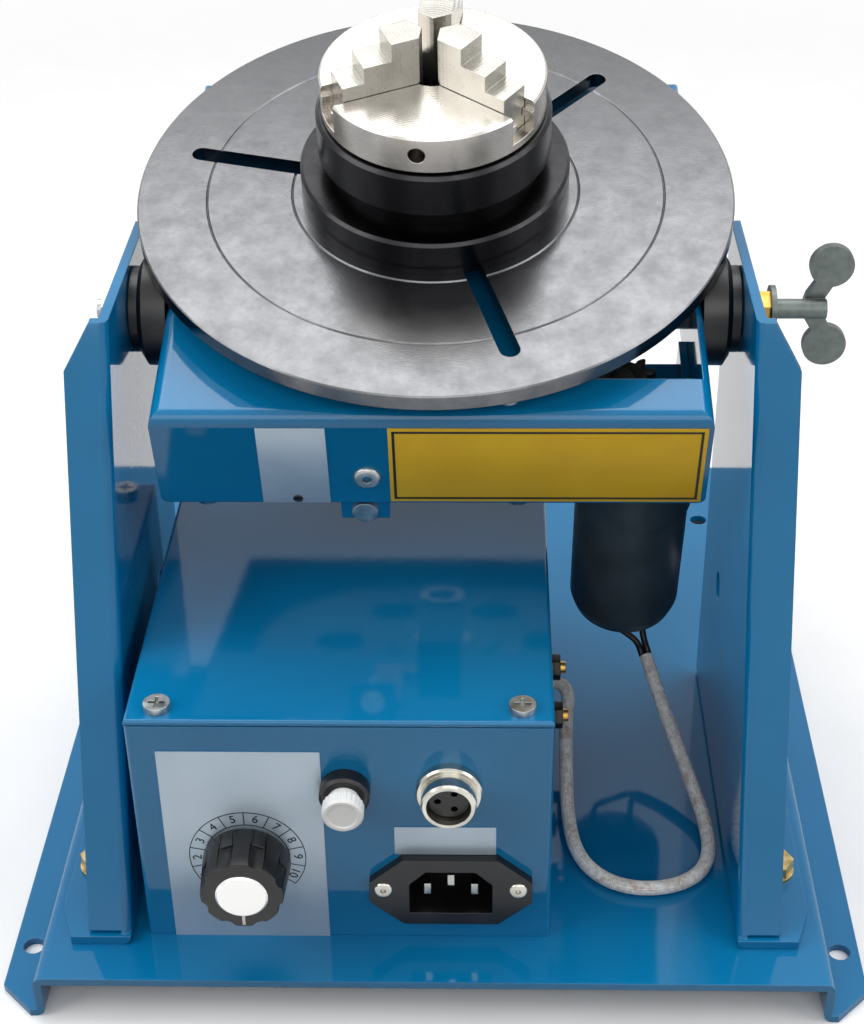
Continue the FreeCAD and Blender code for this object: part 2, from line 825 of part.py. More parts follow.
def make_knob():
    """Lobed speed knob with a turned metal cap, on the potentiometer's shaft."""
    radius = D.knob_diameter / 2
    tall = D.knob_height
    cap = D.knob_cap / 2
    knob = turned("speed_knob", [(3.05, 2.5), (radius - 1, 2.5), (radius, 3.5), (radius - 1.4, tall - 1.5),
                                 (radius - 2.4, tall - 0.4), (cap + 0.1, tall - 0.4), (cap + 0.1, tall - 1.6),
                                 (3.05, tall - 1.6)])
    flute = new_sketch(knob, "XY_Plane", tall)
    circle(flute, (radius + 2.6) * dim(22.5).cos(), (radius + 2.6) * dim(22.5).sin(), 7.4)
    around(knob, pocket(knob, flute, tall - 5), 8)
    on_panel(knob, D.knob_x, D.knob_z)
    disc = turned("knob_cap", [(0, tall - 1.6), (cap, tall - 1.6), (cap, tall), (cap - 0.6, tall + 0.5),
                               (0, tall + 0.5)])
    on_panel(disc, D.knob_x, D.knob_z)
    shaft = cylinder("knob_shaft", 6, tall + 4)
    node(on_panel(shaft, D.knob_x, D.knob_z, -6), "knob_shaft")
    bush = turned("potentiometer", [(0, -19), (12, -19), (12, -7.5), (3.5, -7.5), (3.5, 1.9),
                                    (3 + D.pivot_clearance, 1.9), (3 + D.pivot_clearance, -6.5),
                                    (0, -6.5)])
    on_panel(bush, D.knob_x, D.knob_z)


def make_side_studs():
    """Two screwed studs on the box's right wall, each with washer and nut."""
    studs = []
    for number, y in enumerate((D.stud_front, D.stud_rear)):
        parts = []
        for name, shape, x in (
                ("shank", cylinder("stud_shank%d" % number, 4, 16), -5),
                ("washer", cylinder("stud_washer%d" % number, 9, 1), 0),
                ("collar", cylinder("stud_collar%d" % number, 8, 1.2), 1),
                ("nut", hexagon("stud_nut%d" % number, 8, 3.4), 2.2)):
            parts.append(place(shape, D.box_right + x, -y, D.stud_z, (0, 1, 0), 90))
        studs.append(fuse("stud%d" % number, parts))
    group("terminal_studs", studs)


def make_box_inside():
    """Mains transformer, speed board on its posts and the gland of the motor lead."""
    floor = TOP + D.box_sheet
    wide, deep, tall = D.transformer_wide, D.transformer_deep, D.transformer_tall
    left = -1 * D.transformer_left
    core = place(block("transformer_core", wide, deep, tall), left, -46, floor)
    coil = place(block("transformer_coil", wide * 0.7, deep + 16, tall * 0.7), left + wide * 0.15, -54,
                 floor + tall * 0.15)
    node(fuse("transformer", [core, coil]), "transformer")
    left, front, rise = -1 * D.board_left, -78, D.board_rise
    wide, deep = D.board_wide, D.board_deep
    face = floor + rise + 1.6
    board = place(block("board_plate", wide, deep, 1.6), left, front, floor + rise)
    chip = place(block("board_sink", wide * 0.6, 6, 16), left + 10, front + 14, face)
    cap = place(cylinder("board_capacitor", 14, 20), left + 32, front + 44, face)
    relay = place(block("board_relay", 16, 20, 15), left + 6, front + 42, face)
    pieces = [board, chip, cap, relay]
    for number, (x, y) in enumerate(((4, 4), (wide - 4, 4), (4, deep - 4), (wide - 4, deep - 4))):
        pieces.append(place(cylinder("board_post%d" % number, 6, rise), left + x, front + y, floor))
    union("speed_board", pieces)
    half = D.sleeve_diameter / 2
    gland = turned("lead_gland", [(half, -3), (4.4, -3), (4.4, -1.5), (3.5, -1.5), (3.5, 0), (4.6, 0),
                                  (4.2, 1), (half, 1)])
    place(gland, D.box_right, D.gland_y, D.gland_z, (0, 1, 0), 90)


# ---------------------------------------------------------------- pivots

WEB_OUTSIDE = HALF_GAP + D.upright_sheet
BORE = D.pivot_bolt + D.pivot_clearance * 2


def make_bush(label, side):
    """Black spacer between cradle and upright: wide flange, narrow collar."""
    bore = BORE / 2
    length = HALF_GAP - HALF_CRADLE - D.bush_gap
    wide, narrow = D.bush_flange / 2, D.bush_collar / 2
    bush = turned(label, [(bore, 0), (wide, 0), (wide, length * 0.62), (wide - 2.6, length * 0.76),
                          (narrow, length * 0.76), (narrow, length), (bore, length)])
    at_pivot(bush, side * HALF_CRADLE, side * 90)


def make_left_pivot():
    """Plain bolt with a lock nut outside the left upright."""
    inner = HALF_CRADLE - D.cradle_sheet
    length = WEB_OUTSIDE - inner + 8
    head = at_pivot(hexagon("left_head", 10, 4), 4 - inner, -90)
    stem = at_pivot(cylinder("left_stem", D.pivot_bolt, length), -inner, -90)
    union("pivot_bolt", [head, stem])
    seat = WEB_OUTSIDE + 0.1
    washer = at_pivot(cylinder("left_washer_disc", 14, 1.2), -seat, -90)
    hole = at_pivot(cylinder("left_washer_hole", BORE, 4), 1 - seat, -90)
    node(cut("pivot_washer", washer, hole), "pivot_washer")
    ring = at_pivot(hexagon("left_nut_ring", 10, 5), -seat - 1.2, -90)
    through = at_pivot(cylinder("left_nut_hole", D.pivot_bolt, 9), -seat, -90)
    node(cut("pivot_lock_nut", ring, through), "pivot_lock_nut")


def make_right_clamp():
    """Wing screw that grips the right upright: weld nut, washer, brass nut and wings."""
    inner = HALF_CRADLE - D.cradle_sheet
    ring = at_pivot(hexagon("clamp_nut_ring", 12, 6), inner, -90)
    bore = at_pivot(cylinder("clamp_nut_hole", BORE, 12), inner + 3, -90)
    node(cut("clamp_weld_nut", ring, bore), "clamp_weld_nut")
    seat = WEB_OUTSIDE + 0.1
    disc = at_pivot(cylinder("clamp_disc", 14.4, 1.7), seat)
    hole = at_pivot(cylinder("clamp_hole", BORE, 4), seat - 1)
    node(cut("clamp_washer", disc, hole), "clamp_washer")
    nut_at = seat + 1.8
    brass = at_pivot(hexagon("clamp_brass_ring", 10, 4.4), nut_at)
    brass_hole = at_pivot(cylinder("clamp_brass_hole", D.pivot_bolt, 8), nut_at - 1)
    node(cut("clamp_brass_nut", brass, brass_hole), "clamp_brass_nut")
    collar_at = nut_at + 4.4
    start = inner - 9
    wings = new_body("wing_screw")
    profile = new_sketch(wings, "XZ_Plane")
    reach = collar_at + 17.1 - start
    shoulder = collar_at - start
    shank = D.pivot_bolt / 2
    outline(profile, [(0, 0), (shank - 0.5, 0), (shank, 0.5), (shank, shoulder), (7.1, shoulder),
                      (7.1, shoulder + 1.6), (shank, shoulder + 1.6), (shank, reach), (0, reach)])
    revolve(wings, profile)
    ears = new_sketch(wings, "XZ_Plane", -4)
    tip = reach + 0.9
    for sx in (-1, 1):
        outline(ears, [(0, reach - 7), (0, reach - 0.6), (sx * 3, reach - 0.2), (sx * 9, reach + 3),
                       (sx * 9, reach - 3), (sx * 4, reach - 6)])
    pad(wings, ears, 2.6)
    for sx in (-1, 1):
        disc_sketch = new_sketch(wings, "XZ_Plane", -4)
        circle(disc_sketch, sx * 13.1, tip, 13.3)
        pad(wings, disc_sketch, 2.6)
    place(wings, start, D.pivot_y, D.pivot_z, (0, 1, 0), 90)


# ---------------------------------------------------------------- cradle (axes at the pivot)

CRADLE_FRONT = -1 * D.cradle_front
CRADLE_REAR = D.cradle_depth - D.cradle_front
CRADLE_TOP = D.cradle_rise
CRADLE_LOW = D.cradle_rise - D.cradle_height


def make_cradle():
    """Folded pan, open underneath, with a cut-out over the motor's pinion."""
    body = new_body("cradle")
    t = D.cradle_sheet
    block_sketch = new_sketch(body, "XY_Plane", CRADLE_LOW)
    rectangle(block_sketch, -HALF_CRADLE, CRADLE_FRONT, HALF_CRADLE, CRADLE_REAR)
    pad(body, block_sketch, D.cradle_height)
    soften(body, lambda p: near(p.z, CRADLE_TOP), D.cradle_bend)
    inside = new_sketch(body, "XY_Plane", CRADLE_LOW)
    rectangle(inside, t - HALF_CRADLE, CRADLE_FRONT + t, HALF_CRADLE - t, CRADLE_REAR - t)
    pocket(body, inside, D.cradle_height - t, back=True)

    def low_side(p):
        return near(abs(p.x), HALF_CRADLE) and near(p.z, CRADLE_LOW)

    soften(body, low_side, t - 0.1)
    opening = new_sketch(body, "XY_Plane", CRADLE_TOP)
    rectangle(opening, D.cradle_cut_left, -D.cradle_cut_front, HALF_CRADLE - t, D.cradle_cut_rear)
    pocket(body, opening, t * 2)
    bore = new_sketch(body, "XY_Plane", CRADLE_TOP)
    circle(bore, 0, D.spindle_back, D.bearing_outer - 8)
    for turn in (45, 135, 225, 315):
        reach = D.housing_outer / 2 - 3.4
        circle(bore, dim(turn).cos() * reach, D.spindle_back + dim(turn).sin() * reach, 4.2)
    pocket(body, bore, t * 2)
    pivot = new_sketch(body, "YZ_Plane")
    circle(pivot, 0, 0, BORE)
    pocket(body, pivot, D.cradle_width + 2, middle=True)
    tilt_place(body)


def make_bridge():
    """Cross plate at the bottom of the pan: it carries the motor and the earth lug."""
    body = new_body("motor_bridge")
    t = D.cradle_sheet
    inner = HALF_CRADLE - t
    front = CRADLE_FRONT + t
    rear = -1 * D.bridge_rear
    plate = new_sketch(body, "XY_Plane", CRADLE_LOW)
    rectangle(plate, -inner, front, inner, rear)
    pad(body, plate, t)
    ends = new_sketch(body, "XZ_Plane", -1 * rear)
    for sx in (-1, 1):
        rectangle(ends, sx * inner, CRADLE_LOW, sx * (inner - t), CRADLE_LOW + D.bridge_flange)
    pad(body, ends, rear - front - 6)
    lug = new_sketch(body, "XZ_Plane", -1 * front)
    rectangle(lug, -D.lug_left, CRADLE_LOW - D.lug_drop, -D.lug_right, CRADLE_LOW + t)
    pad(body, lug, t, back=True)
    holes = new_sketch(body, "XY_Plane", CRADLE_LOW)
    circle(holes, SHAFT_X, SHAFT_Y, D.motor_boss + 0.3)
    for x, y in motor_screw_places():
        circle(holes, x, y, 3.2)
    pocket(body, holes, back=True)
    earth = new_sketch(body, "XZ_Plane", -1 * front)
    circle(earth, EARTH_X, EARTH_Z, 5.2)
    pocket(body, earth, t * 3, middle=True)
    tilt_place(body)


TEETH_SUM = D.wheel_teeth + D.pinion_teeth
GEAR_CENTRES = D.gear_module * TEETH_SUM / 2
SHAFT_X = GEAR_CENTRES * D.motor_shaft_angle.cos()
SHAFT_Y = D.spindle_back + GEAR_CENTRES * D.motor_shaft_angle.sin()
MOTOR_X = (GEAR_CENTRES + D.motor_offset) * D.motor_shaft_angle.cos()
MOTOR_Y = D.spindle_back + (GEAR_CENTRES + D.motor_offset) * D.motor_shaft_angle.sin()
EARTH_X = (D.lug_left + D.lug_right) / -2
EARTH_Z = CRADLE_LOW - D.lug_drop / 2


def motor_screw_places():
    for turn in (60, 180, 240, 300):
        reach = D.gearbox_diameter / 2 - 3
        yield MOTOR_X + dim(turn).cos() * reach, MOTOR_Y + dim(turn).sin() * reach


def make_motor():
    """Geared motor under the bridge: offset gearbox, can, rounded end cap."""
    length = D.gearbox_length
    radius = D.gearbox_diameter / 2
    gearbox = turned("motor_gearbox", [(0, -length), (radius - 0.6, -length), (radius, 0.6 - length),
                                       (radius, -7.6), (radius - 0.5, -7.3), (radius - 0.5, -6.7),
                                       (radius, -6.4), (radius, -0.6), (radius - 0.6, 0), (0, 0)])
    boss = new_sketch(gearbox, "XY_Plane")
    back_x = -1 * D.motor_offset * D.motor_shaft_angle.cos()
    back_y = -1 * D.motor_offset * D.motor_shaft_angle.sin()
    circle(boss, back_x, back_y, D.motor_boss)
    pad(gearbox, boss, D.cradle_sheet + 1.2)
    well = new_sketch(gearbox, "XY_Plane", D.cradle_sheet + 1.2)
    circle(well, back_x, back_y, D.motor_shaft + D.pivot_clearance * 2)
    pocket(gearbox, well, 14)
    taps = new_sketch(gearbox, "XY_Plane")
    for x, y in motor_screw_places():
        circle(taps, x - MOTOR_X, y - MOTOR_Y, 3)
    pocket(gearbox, taps, 5)
    tilt_place(gearbox, MOTOR_X, MOTOR_Y, CRADLE_LOW)
    can_radius = D.motor_diameter / 2
    end = -1 * D.motor_length
    can = turned("motor_can", [(0, end), (5, end), (5, end + 1.6), (9, end + 1.6), (can_radius - 4.5, end + 3),
                               (can_radius - 1.2, end + 6), (can_radius, end + 10), (can_radius, 0), (0, 0)])
    tilt_place(can, MOTOR_X, MOTOR_Y, CRADLE_LOW - length)
    screws = []
    for number, (x, y) in enumerate(motor_screw_places()):
        screw = cross_head_screw("motor_screw%d" % number, 2.9, 6.5, 5.4, 1.8)
        screws.append(tilt_place(screw, x, y, CRADLE_LOW + D.cradle_sheet))
    group("motor_screws", screws)


def gear_points(teeth, clear_turn, start):
    """Corner points of an involute spur gear's outline, one tooth centred on start degrees."""
    module = D.gear_module.value
    pitch = module * teeth / 2
    base = pitch * math.cos(math.radians(20))
    tip = pitch + module
    root = pitch - 1.2 * module
    flat = math.tan(math.radians(20)) - math.radians(20)
    half_pitch = math.pi / (2 * teeth) - clear_turn / pitch / 2
    flank = []
    for radius in (max(base, root + 0.05), (base + pitch) / 2 if base > root else pitch - module / 2,
                   pitch, pitch + module / 2, tip):
        ratio = max(radius / base, 1.0)
        spread = math.sqrt(ratio * ratio - 1)
        turn = half_pitch + flat - (spread - math.atan(spread))
        flank.append((radius, turn))
    flank = [(root, flank[0][1])] + flank
    points = []
    for tooth in range(int(teeth)):
        middle = math.radians(start) + 2 * math.pi * tooth / teeth
        for radius, turn in flank:
            points.append(V(radius * math.cos(middle - turn), radius * math.sin(middle - turn), 0))
        for radius, turn in reversed(flank):
            points.append(V(radius * math.cos(middle + turn), radius * math.sin(middle + turn), 0))
    return points


def gear(label, teeth, start, bore, hub, hub_height):
    """A spur gear with a hub underneath, its top face at z = 0."""
    points = gear_points(teeth, D.gear_backlash.value, start)
    wire = Part.makePolygon(points + points[:1])
    face = D.gear_face.value
    rim = Part.Face(wire).extrude(V(0, 0, -face))
    boss = Part.makeCylinder(hub / 2, face + hub_height, V(0, 0, -face - hub_height))
    shape = rim.fuse(boss).cut(Part.makeCylinder(bore / 2, face * 3, V(0, 0, -face * 2)))
    return shape


def make_gears():
    """The motor's pinion and the large wheel under the table, in mesh at rest."""
    wheel_teeth, pinion_teeth = D.wheel_teeth.value, D.pinion_teeth.value
    line = D.motor_shaft_angle.value
    wheel_bore = D.spindle_journal.value - 5
    wheel_shape = gear("table_gear", wheel_teeth, line + 180 / wheel_teeth, wheel_bore, 40, 2)
    web = Part.makeCylinder(52, D.gear_face.value / 3, V(0, 0, -D.gear_face.value / 3))
    web = web.cut(Part.makeCylinder(22, 20, V(0, 0, -10)))
    wheel_shape = wheel_shape.cut(web)
    for turn in range(0, 360, 60):
        centre = V(37 * math.cos(math.radians(turn)), 37 * math.sin(math.radians(turn)), -20)
        wheel_shape = wheel_shape.cut(Part.makeCylinder(9, 30, centre))
    wheel = doc.addObject("Part::Feature", "table_gear")
    wheel.Shape = wheel_shape
    tilt_place(node(wheel, "table_gear"), 0, D.spindle_back, D.gear_top)
    pinion_shape = gear("drive_pinion", pinion_teeth, line + 180, D.motor_shaft.value, 12, 0)
    pinion = doc.addObject("Part::Feature", "drive_pinion")
    pinion.Shape = pinion_shape
    tilt_place(node(pinion, "drive_pinion"), SHAFT_X, SHAFT_Y, D.gear_top)
    low = CRADLE_LOW - 9
    shaft = cylinder("motor_shaft", D.motor_shaft, D.gear_top + 1 - low)
    node(tilt_place(shaft, SHAFT_X, SHAFT_Y, low), "motor_shaft")


PLATE_UNDER = CRADLE_TOP - D.cradle_sheet
TABLE_UNDER = D.table_rise - D.table_thickness


def make_spindle():
    """Hollow spindle with its flange, in one deep-groove bearing under the pan's top."""
    journal = D.spindle_journal / 2
    bore = D.spindle_bore / 2
    seat = journal - 2.5
    gear_low = D.gear_top - D.gear_face - 2
    spindle = turned("spindle", [(bore, -34), (seat - 2, -34), (seat - 2, gear_low), (seat, gear_low),
                                 (seat, D.gear_top), (journal, D.gear_top), (journal, CRADLE_TOP + 1),
                                 (24, CRADLE_TOP + 1), (24, TABLE_UNDER), (bore, TABLE_UNDER)])
    tilt_place(spindle, 0, D.spindle_back, 0)
    outer = D.bearing_outer / 2
    width = D.bearing_width
    top = PLATE_UNDER - 1
    low = top - width
    ring_out = cylinder("bearing_ring", D.bearing_outer, width)
    ring_hole = cylinder("bearing_ring_hole", D.bearing_outer - 6.4, width)
    ring_out = cut("bearing_outer", ring_out, ring_hole)
    ring_in = turned("bearing_inner_ring", [(journal, low), (journal + 3.2, low), (journal + 3.2, top),
                                            (journal, top)])
    tilt_place(ring_in, 0, D.spindle_back, 0)
    middle = (outer + journal) / 2
    ball = (outer - journal - 6.4) * 0.97
    balls = [tilt_place(ring_out, 0, D.spindle_back, low)]
    for number in range(9):
        turn = dim(number * 40)
        bead = solid("Sphere", "bearing_ball%d" % number, Radius=ball / 2)
        x, y = middle * turn.cos(), D.spindle_back + middle * turn.sin()
        balls.append(tilt_place(bead, x, y, (top + low) / 2))
    group("bearing_ring_and_balls", balls)
    wide = D.housing_outer / 2
    housing = turned("bearing_housing", [(outer - 3, low - 2), (outer + 3, low - 2), (outer + 3, PLATE_UNDER - 3),
                                         (wide, PLATE_UNDER - 3), (wide, PLATE_UNDER), (outer, PLATE_UNDER),
                                         (outer, low), (outer - 3, low)])
    holes = new_sketch(housing, "XY_Plane", PLATE_UNDER)
    for turn in (45, 135, 225, 315):
        circle(holes, dim(turn).cos() * (wide - 3.4), dim(turn).sin() * (wide - 3.4), 4.2)
    pocket(housing, holes, 8)
    tilt_place(housing, 0, D.spindle_back, 0)
    bolts = []
    for number, turn in enumerate((45, 135, 225, 315)):
        x = dim(turn).cos() * (wide - 3.4)
        y = D.spindle_back + dim(turn).sin() * (wide - 3.4)
        head = tilt_place(cylinder("housing_head%d" % number, 6.6, 2.2), x, y, CRADLE_TOP)
        stem = tilt_place(cylinder("housing_stem%d" % number, 4, 9), x, y, CRADLE_TOP - 9)
        bolts.append(fuse("housing_bolt%d" % number, [head, stem]))
    group("housing_screws", bolts)


def make_brush():
    """Carbon brush that rubs the spindle's end, in a holder with a spring; strap to the lug."""
    rub = D.spindle_journal / 2 - 4.5
    centre_z = CRADLE_LOW - 5
    start = D.spindle_back - rub - 0.1
    rear = -1 * D.bridge_rear
    body = new_body("brush_holder")
    back = rear - 16
    case = new_sketch(body, "XY_Plane", CRADLE_LOW)
    rectangle(case, -7, back, 7, start - 5)
    pad(body, case, 10, back=True)
    bore = new_sketch(body, "XZ_Plane", -1 * start + 5)
    rectangle(bore, -4.1, centre_z - 4.1, 4.1, centre_z + 3)
    pocket(body, bore, start - 5 - back - 2, back=True)
    tilt_place(body)
    brush = block("carbon_brush", 8, 14, 7)
    node(tilt_place(brush, -4, start - 14, centre_z - 4), "carbon_brush")
    lean = D.rest_tilt
    front = CRADLE_FRONT + D.cradle_sheet * 2 + 4.2
    strap = block("earth_strap", 9, rear - 14 - front, 1.5)
    tilt_place(strap, EARTH_X - 1, front, CRADLE_LOW - 1.5)
    link = block("earth_link", -7 - EARTH_X + 1, 8, 1.5)
    tilt_place(link, EARTH_X - 1, rear - 22, CRADLE_LOW - 1.5)
    union("earth_strap_bar", [strap, link])
    head = cylinder("earth_head", 7.6, 2.4)
    stem = cylinder("earth_stem", 5, 14)
    nut = hexagon("earth_nut", 8, 4)
    y = CRADLE_FRONT + D.cradle_sheet
    parts = []
    for shape, at_y in ((head, y), (stem, y + 13.5), (nut, y + D.cradle_sheet + 4)):
        world_y = D.pivot_y + at_y * lean.cos() - EARTH_Z * lean.sin()
        world_z = D.pivot_z + at_y * lean.sin() + EARTH_Z * lean.cos()
        parts.append(place(shape, EARTH_X, world_y, world_z, (1, 0, 0), lean + 90))
    union("earth_bolt", parts)


# ---------------------------------------------------------------- table and chuck

TABLE_TOP = D.table_rise
HUB_TOP = TABLE_TOP + D.hub_height
RING_LOW = HUB_TOP + D.chuck_plate_height + D.chuck_gap
RING_TOP = RING_LOW + D.ring_height
BODY_LOW = RING_TOP + D.chuck_gap
CHUCK_TOP = BODY_LOW + D.chuck_face_height


def on_spindle(thing, z=0):
    return tilt_place(thing, 0, D.spindle_back, z)


def make_table():
    """Slotted round table with two scribed circles."""
    radius = D.table_diameter / 2
    bore = D.spindle_bore / 2
    depth = 0.5
    half = D.scribe_width / 2
    profile = [(bore, TABLE_UNDER), (radius, TABLE_UNDER), (radius, TABLE_TOP - 0.4), (radius - 0.4, TABLE_TOP)]
    for ring in (D.scribe_outer, D.scribe_inner):
        profile += [(ring + half, TABLE_TOP), (ring, TABLE_TOP - depth), (ring - half, TABLE_TOP)]
    table = turned("round_table", profile + [(bore, TABLE_TOP)])
    slot = new_sketch(table, "XY_Plane", TABLE_TOP)
    slot_along_x(slot, D.table_slot_inner, D.table_slot_outer, D.table_slot_width)
    around(table, pocket(table, slot), 3)
    lean, turn = D.rest_tilt, D.table_slot_angle
    on_spindle(table)
    spin = FreeCAD.Rotation(V(1, 0, 0), lean.value).multiply(FreeCAD.Rotation(V(0, 0, 1), turn.value))
    table.setExpression(".Placement.Rotation.Angle", None)
    table.Placement = FreeCAD.Placement(table.Placement.Base, spin)
    hub = D.hub_diameter / 2
    mount = turned("chuck_hub", [(bore, TABLE_TOP), (hub, TABLE_TOP), (hub, HUB_TOP - 0.9), (hub - 0.9, HUB_TOP),
                                 (bore, HUB_TOP)])
    on_spindle(mount)


def make_chuck():
    """Three-jaw scroll chuck: back plate, scroll ring, slotted body and stepped jaws."""
    plate = D.chuck_plate_diameter / 2
    bore = D.chuck_bore / 2
    on_spindle(turned("chuck_back_plate", [(bore, HUB_TOP), (plate, HUB_TOP), (plate, RING_LOW - D.chuck_gap),
                                           (bore, RING_LOW - D.chuck_gap)]))
    core = D.chuck_core / 2
    outer = D.ring_diameter / 2
    inner = core + D.pivot_clearance
    ring = turned("scroll_ring", [(inner, RING_LOW), (outer - 1, RING_LOW), (outer, RING_LOW + 1),
                                  (outer, RING_TOP - 1), (outer - 1, RING_TOP), (inner, RING_TOP)])
    chuck_place(ring)
    face = D.chuck_diameter / 2
    body = turned("chuck_body", [(bore, RING_LOW - D.chuck_gap), (core, RING_LOW - D.chuck_gap), (core, BODY_LOW),
                                 (face - 0.5, BODY_LOW), (face, BODY_LOW + 0.5), (face, CHUCK_TOP - 0.6),
                                 (face - 0.6, CHUCK_TOP), (bore, CHUCK_TOP)])
    width = D.jaw_width / 2 + D.jaw_clearance
    deep = CHUCK_TOP - D.jaw_slot_depth
    rib = 1.3
    slot = new_sketch(body, "YZ_Plane")
    outline(slot, [(-width, deep), (width, deep), (width, CHUCK_TOP - 5), (width - rib, CHUCK_TOP - 5),
                   (width - rib, CHUCK_TOP - 2.8), (width, CHUCK_TOP - 2.8), (width, CHUCK_TOP + 1),
                   (-width, CHUCK_TOP + 1), (-width, CHUCK_TOP - 2.8), (rib - width, CHUCK_TOP - 2.8),
                   (rib - width, CHUCK_TOP - 5), (-width, CHUCK_TOP - 5)])
    around(body, pocket(body, slot, face + 2, back=True), 3)
    side_hole = new_sketch(body, "YZ_Plane")
    circle(side_hole, 0, BODY_LOW + D.chuck_face_height * 0.52, D.tommy_hole)
    around(body, pocket(body, side_hole, face + 2), 3)
    chuck_place(body)
    for number, turn in enumerate((90, 210, 330), start=1):
        make_jaw("chuck_jaw_%d" % number, turn)


def chuck_place(thing, turn=90):
    """Onto the spindle's axis, turned about it; local +X then points at the given angle."""
    on_spindle(thing)
    angle = D.chuck_turn.value + turn
    spin = FreeCAD.Rotation(V(1, 0, 0), D.rest_tilt.value).multiply(FreeCAD.Rotation(V(0, 0, 1), angle))
    thing.setExpression(".Placement.Rotation.Angle", None)
    thing.Placement = FreeCAD.Placement(thing.Placement.Base, spin)
    return thing


def make_jaw(label, turn):
    """One stepped jaw: three steps outside, grooved sides, pointed tip."""
    body = new_body(label)
    half = D.jaw_width / 2
    tip, end = D.jaw_tip, D.jaw_tip + D.jaw_length
    foot = CHUCK_TOP - D.jaw_slot_depth + D.jaw_clearance
    step = D.jaw_step
    side = new_sketch(body, "XZ_Plane")
    outline(side, [(tip, foot), (end, foot), (end, CHUCK_TOP + step * 0.9), (end - 6.6, CHUCK_TOP + step * 0.9),
                   (end - 6.6, CHUCK_TOP + step * 1.9), (end - 15, CHUCK_TOP + step * 1.9),
                   (end - 15, CHUCK_TOP + step * 3), (tip, CHUCK_TOP + step * 3)])
    pad(body, side, D.jaw_width, middle=True)
    groove = new_sketch(body, "YZ_Plane", tip - 1)
    play = D.jaw_clearance
    rib = 1.3
    for sy in (-1, 1):
        rectangle(groove, sy * (half + 1), CHUCK_TOP - 5 - play, sy * (half - rib),
                  CHUCK_TOP - 2.8 + play)
    pocket(body, groove, D.jaw_length + 2, back=True)
    point = new_sketch(body, "XY_Plane", foot - 1)
    spread = half * 0.57735
    for sy in (-1, 1):
        outline(point, [(tip - 1, sy * (half + 1)), (tip + spread, sy * (half + 1)), (tip + spread, sy * half),
                        (tip, 0), (tip - 1, 0)])
    pocket(body, point, D.jaw_slot_depth + step * 3 + 2, back=True)
    chuck_place(body, turn)


# ---------------------------------------------------------------- motor lead

def tangent_path(points):
    """Straight runs joined by arcs tangent to both; also returns the arc radii."""
    edges, radii = [], []
    start = points[0]
    for before, corner, after in zip(points, points[1:], points[2:]):
        into = (corner - before).normalize()
        out = (after - corner).normalize()
        turn = into.getAngle(out)
        shorter = min(before.distanceToPoint(corner), corner.distanceToPoint(after))
        back = shorter * 0.45
        first, last = corner - into * back, corner + out * back
        radii.append(back / math.tan(turn / 2))
        bulge = (out - into).normalize() * (radii[-1] / math.cos(turn / 2) - radii[-1])
        edges.append(Part.LineSegment(start, first).toShape())
        edges.append(Part.Arc(first, corner + bulge, last).toShape())
        start = last
    edges.append(Part.LineSegment(start, points[-1]).toShape())
    return Part.Wire(edges), radii


def cord(label, points, diameter):
    """A round cord swept along its path; the volume must match section times length."""
    points = [V(*point) for point in points]
    path, radii = tangent_path(points)
    section = Part.Wire(Part.makeCircle(diameter / 2, points[0], points[1] - points[0]))
    tube = path.makePipeShell([section], True, True)
    expected = math.pi * diameter * diameter / 4 * path.Length
    if abs(tube.Volume / expected - 1) > 0.01:
        raise RuntimeError("%s: volume %.1f for %.1f" % (label, tube.Volume, expected))
    print(label, "length %.1f" % path.Length, "radii", [round(r, 1) for r in radii])
    return tube


SLEEVE_POINTS = [(69.4, -27.6, 46.5), (74.6, -43, 36.5), (81.2, -63, 26.5), (86.2, -80, 19.6),
                 (86.4, -95.5, 18), (79.5, -105.6, 17.9), (66, -109.6, 17.8), (53, -106, 17.8),
                 (44.6, -95, 17.9), (42, -80, 20), (41.8, -62, 27), (42.2, -46.5, 34.5),
                 (43.6, -37.4, 39.4), (38.4, -34, 41), (32.4, -34, 41)]


def make_lead():
    """Two motor wires that enter one braided sleeve, which loops to the box's gland."""
    points = [list(point) for point in SLEEVE_POINTS]
    for point, out in zip(points[-2:], (3.4, -2.6)):
        point[:] = [D.box_right.value + out, D.gland_y.value, D.gland_z.value]
    thing = doc.addObject("Part::Feature", "motor_lead")
    thing.Shape = cord("motor_lead", points, D.sleeve_diameter.value)
    node(thing, "motor_lead")
    lean = FreeCAD.Rotation(V(1, 0, 0), D.rest_tilt.value)
    tubes = []
    down = CRADLE_LOW.value - D.gearbox_length.value - D.motor_length.value
    into = V(*points[1]) - V(*points[0])
    into.normalize()
    side = into.cross(V(0, 1, 0)).normalize()
    for sx in (-1, 1):
        local = V(MOTOR_X.value + sx * 6.6, MOTOR_Y.value, down + 1.4)
        start = V(0, D.pivot_y.value, D.pivot_z.value) + lean.multVec(local)
        drop = lean.multVec(V(0, 0, -1))
        end = V(*points[0]) + side * (sx * 1.12)
        path = [start, start + drop * 7, end - into * 6, end]
        tubes.append(cord("motor_wire", path, D.wire_diameter.value))
    wires = doc.addObject("Part::Feature", "motor_wires")
    wires.Shape = Part.makeCompound(tubes)
    node(wires, "motor_wires")


# ---------------------------------------------------------------- build, check, write

make_base_plate()
make_upright("upright_left", -1)
make_upright("upright_right", 1)
make_foot_fasteners()
make_control_box()
make_box_lid()
make_lid_screws()
make_inlet()
make_inlet_pins()
make_inlet_rivets()
make_socket()
make_button()
make_knob()
make_side_studs()
make_box_inside()
make_bush("bush_left", -1)
make_bush("bush_right", 1)
make_left_pivot()
make_right_clamp()
make_cradle()
make_bridge()
make_motor()
make_gears()
make_spindle()
make_brush()
make_table()
make_chuck()
make_lead()

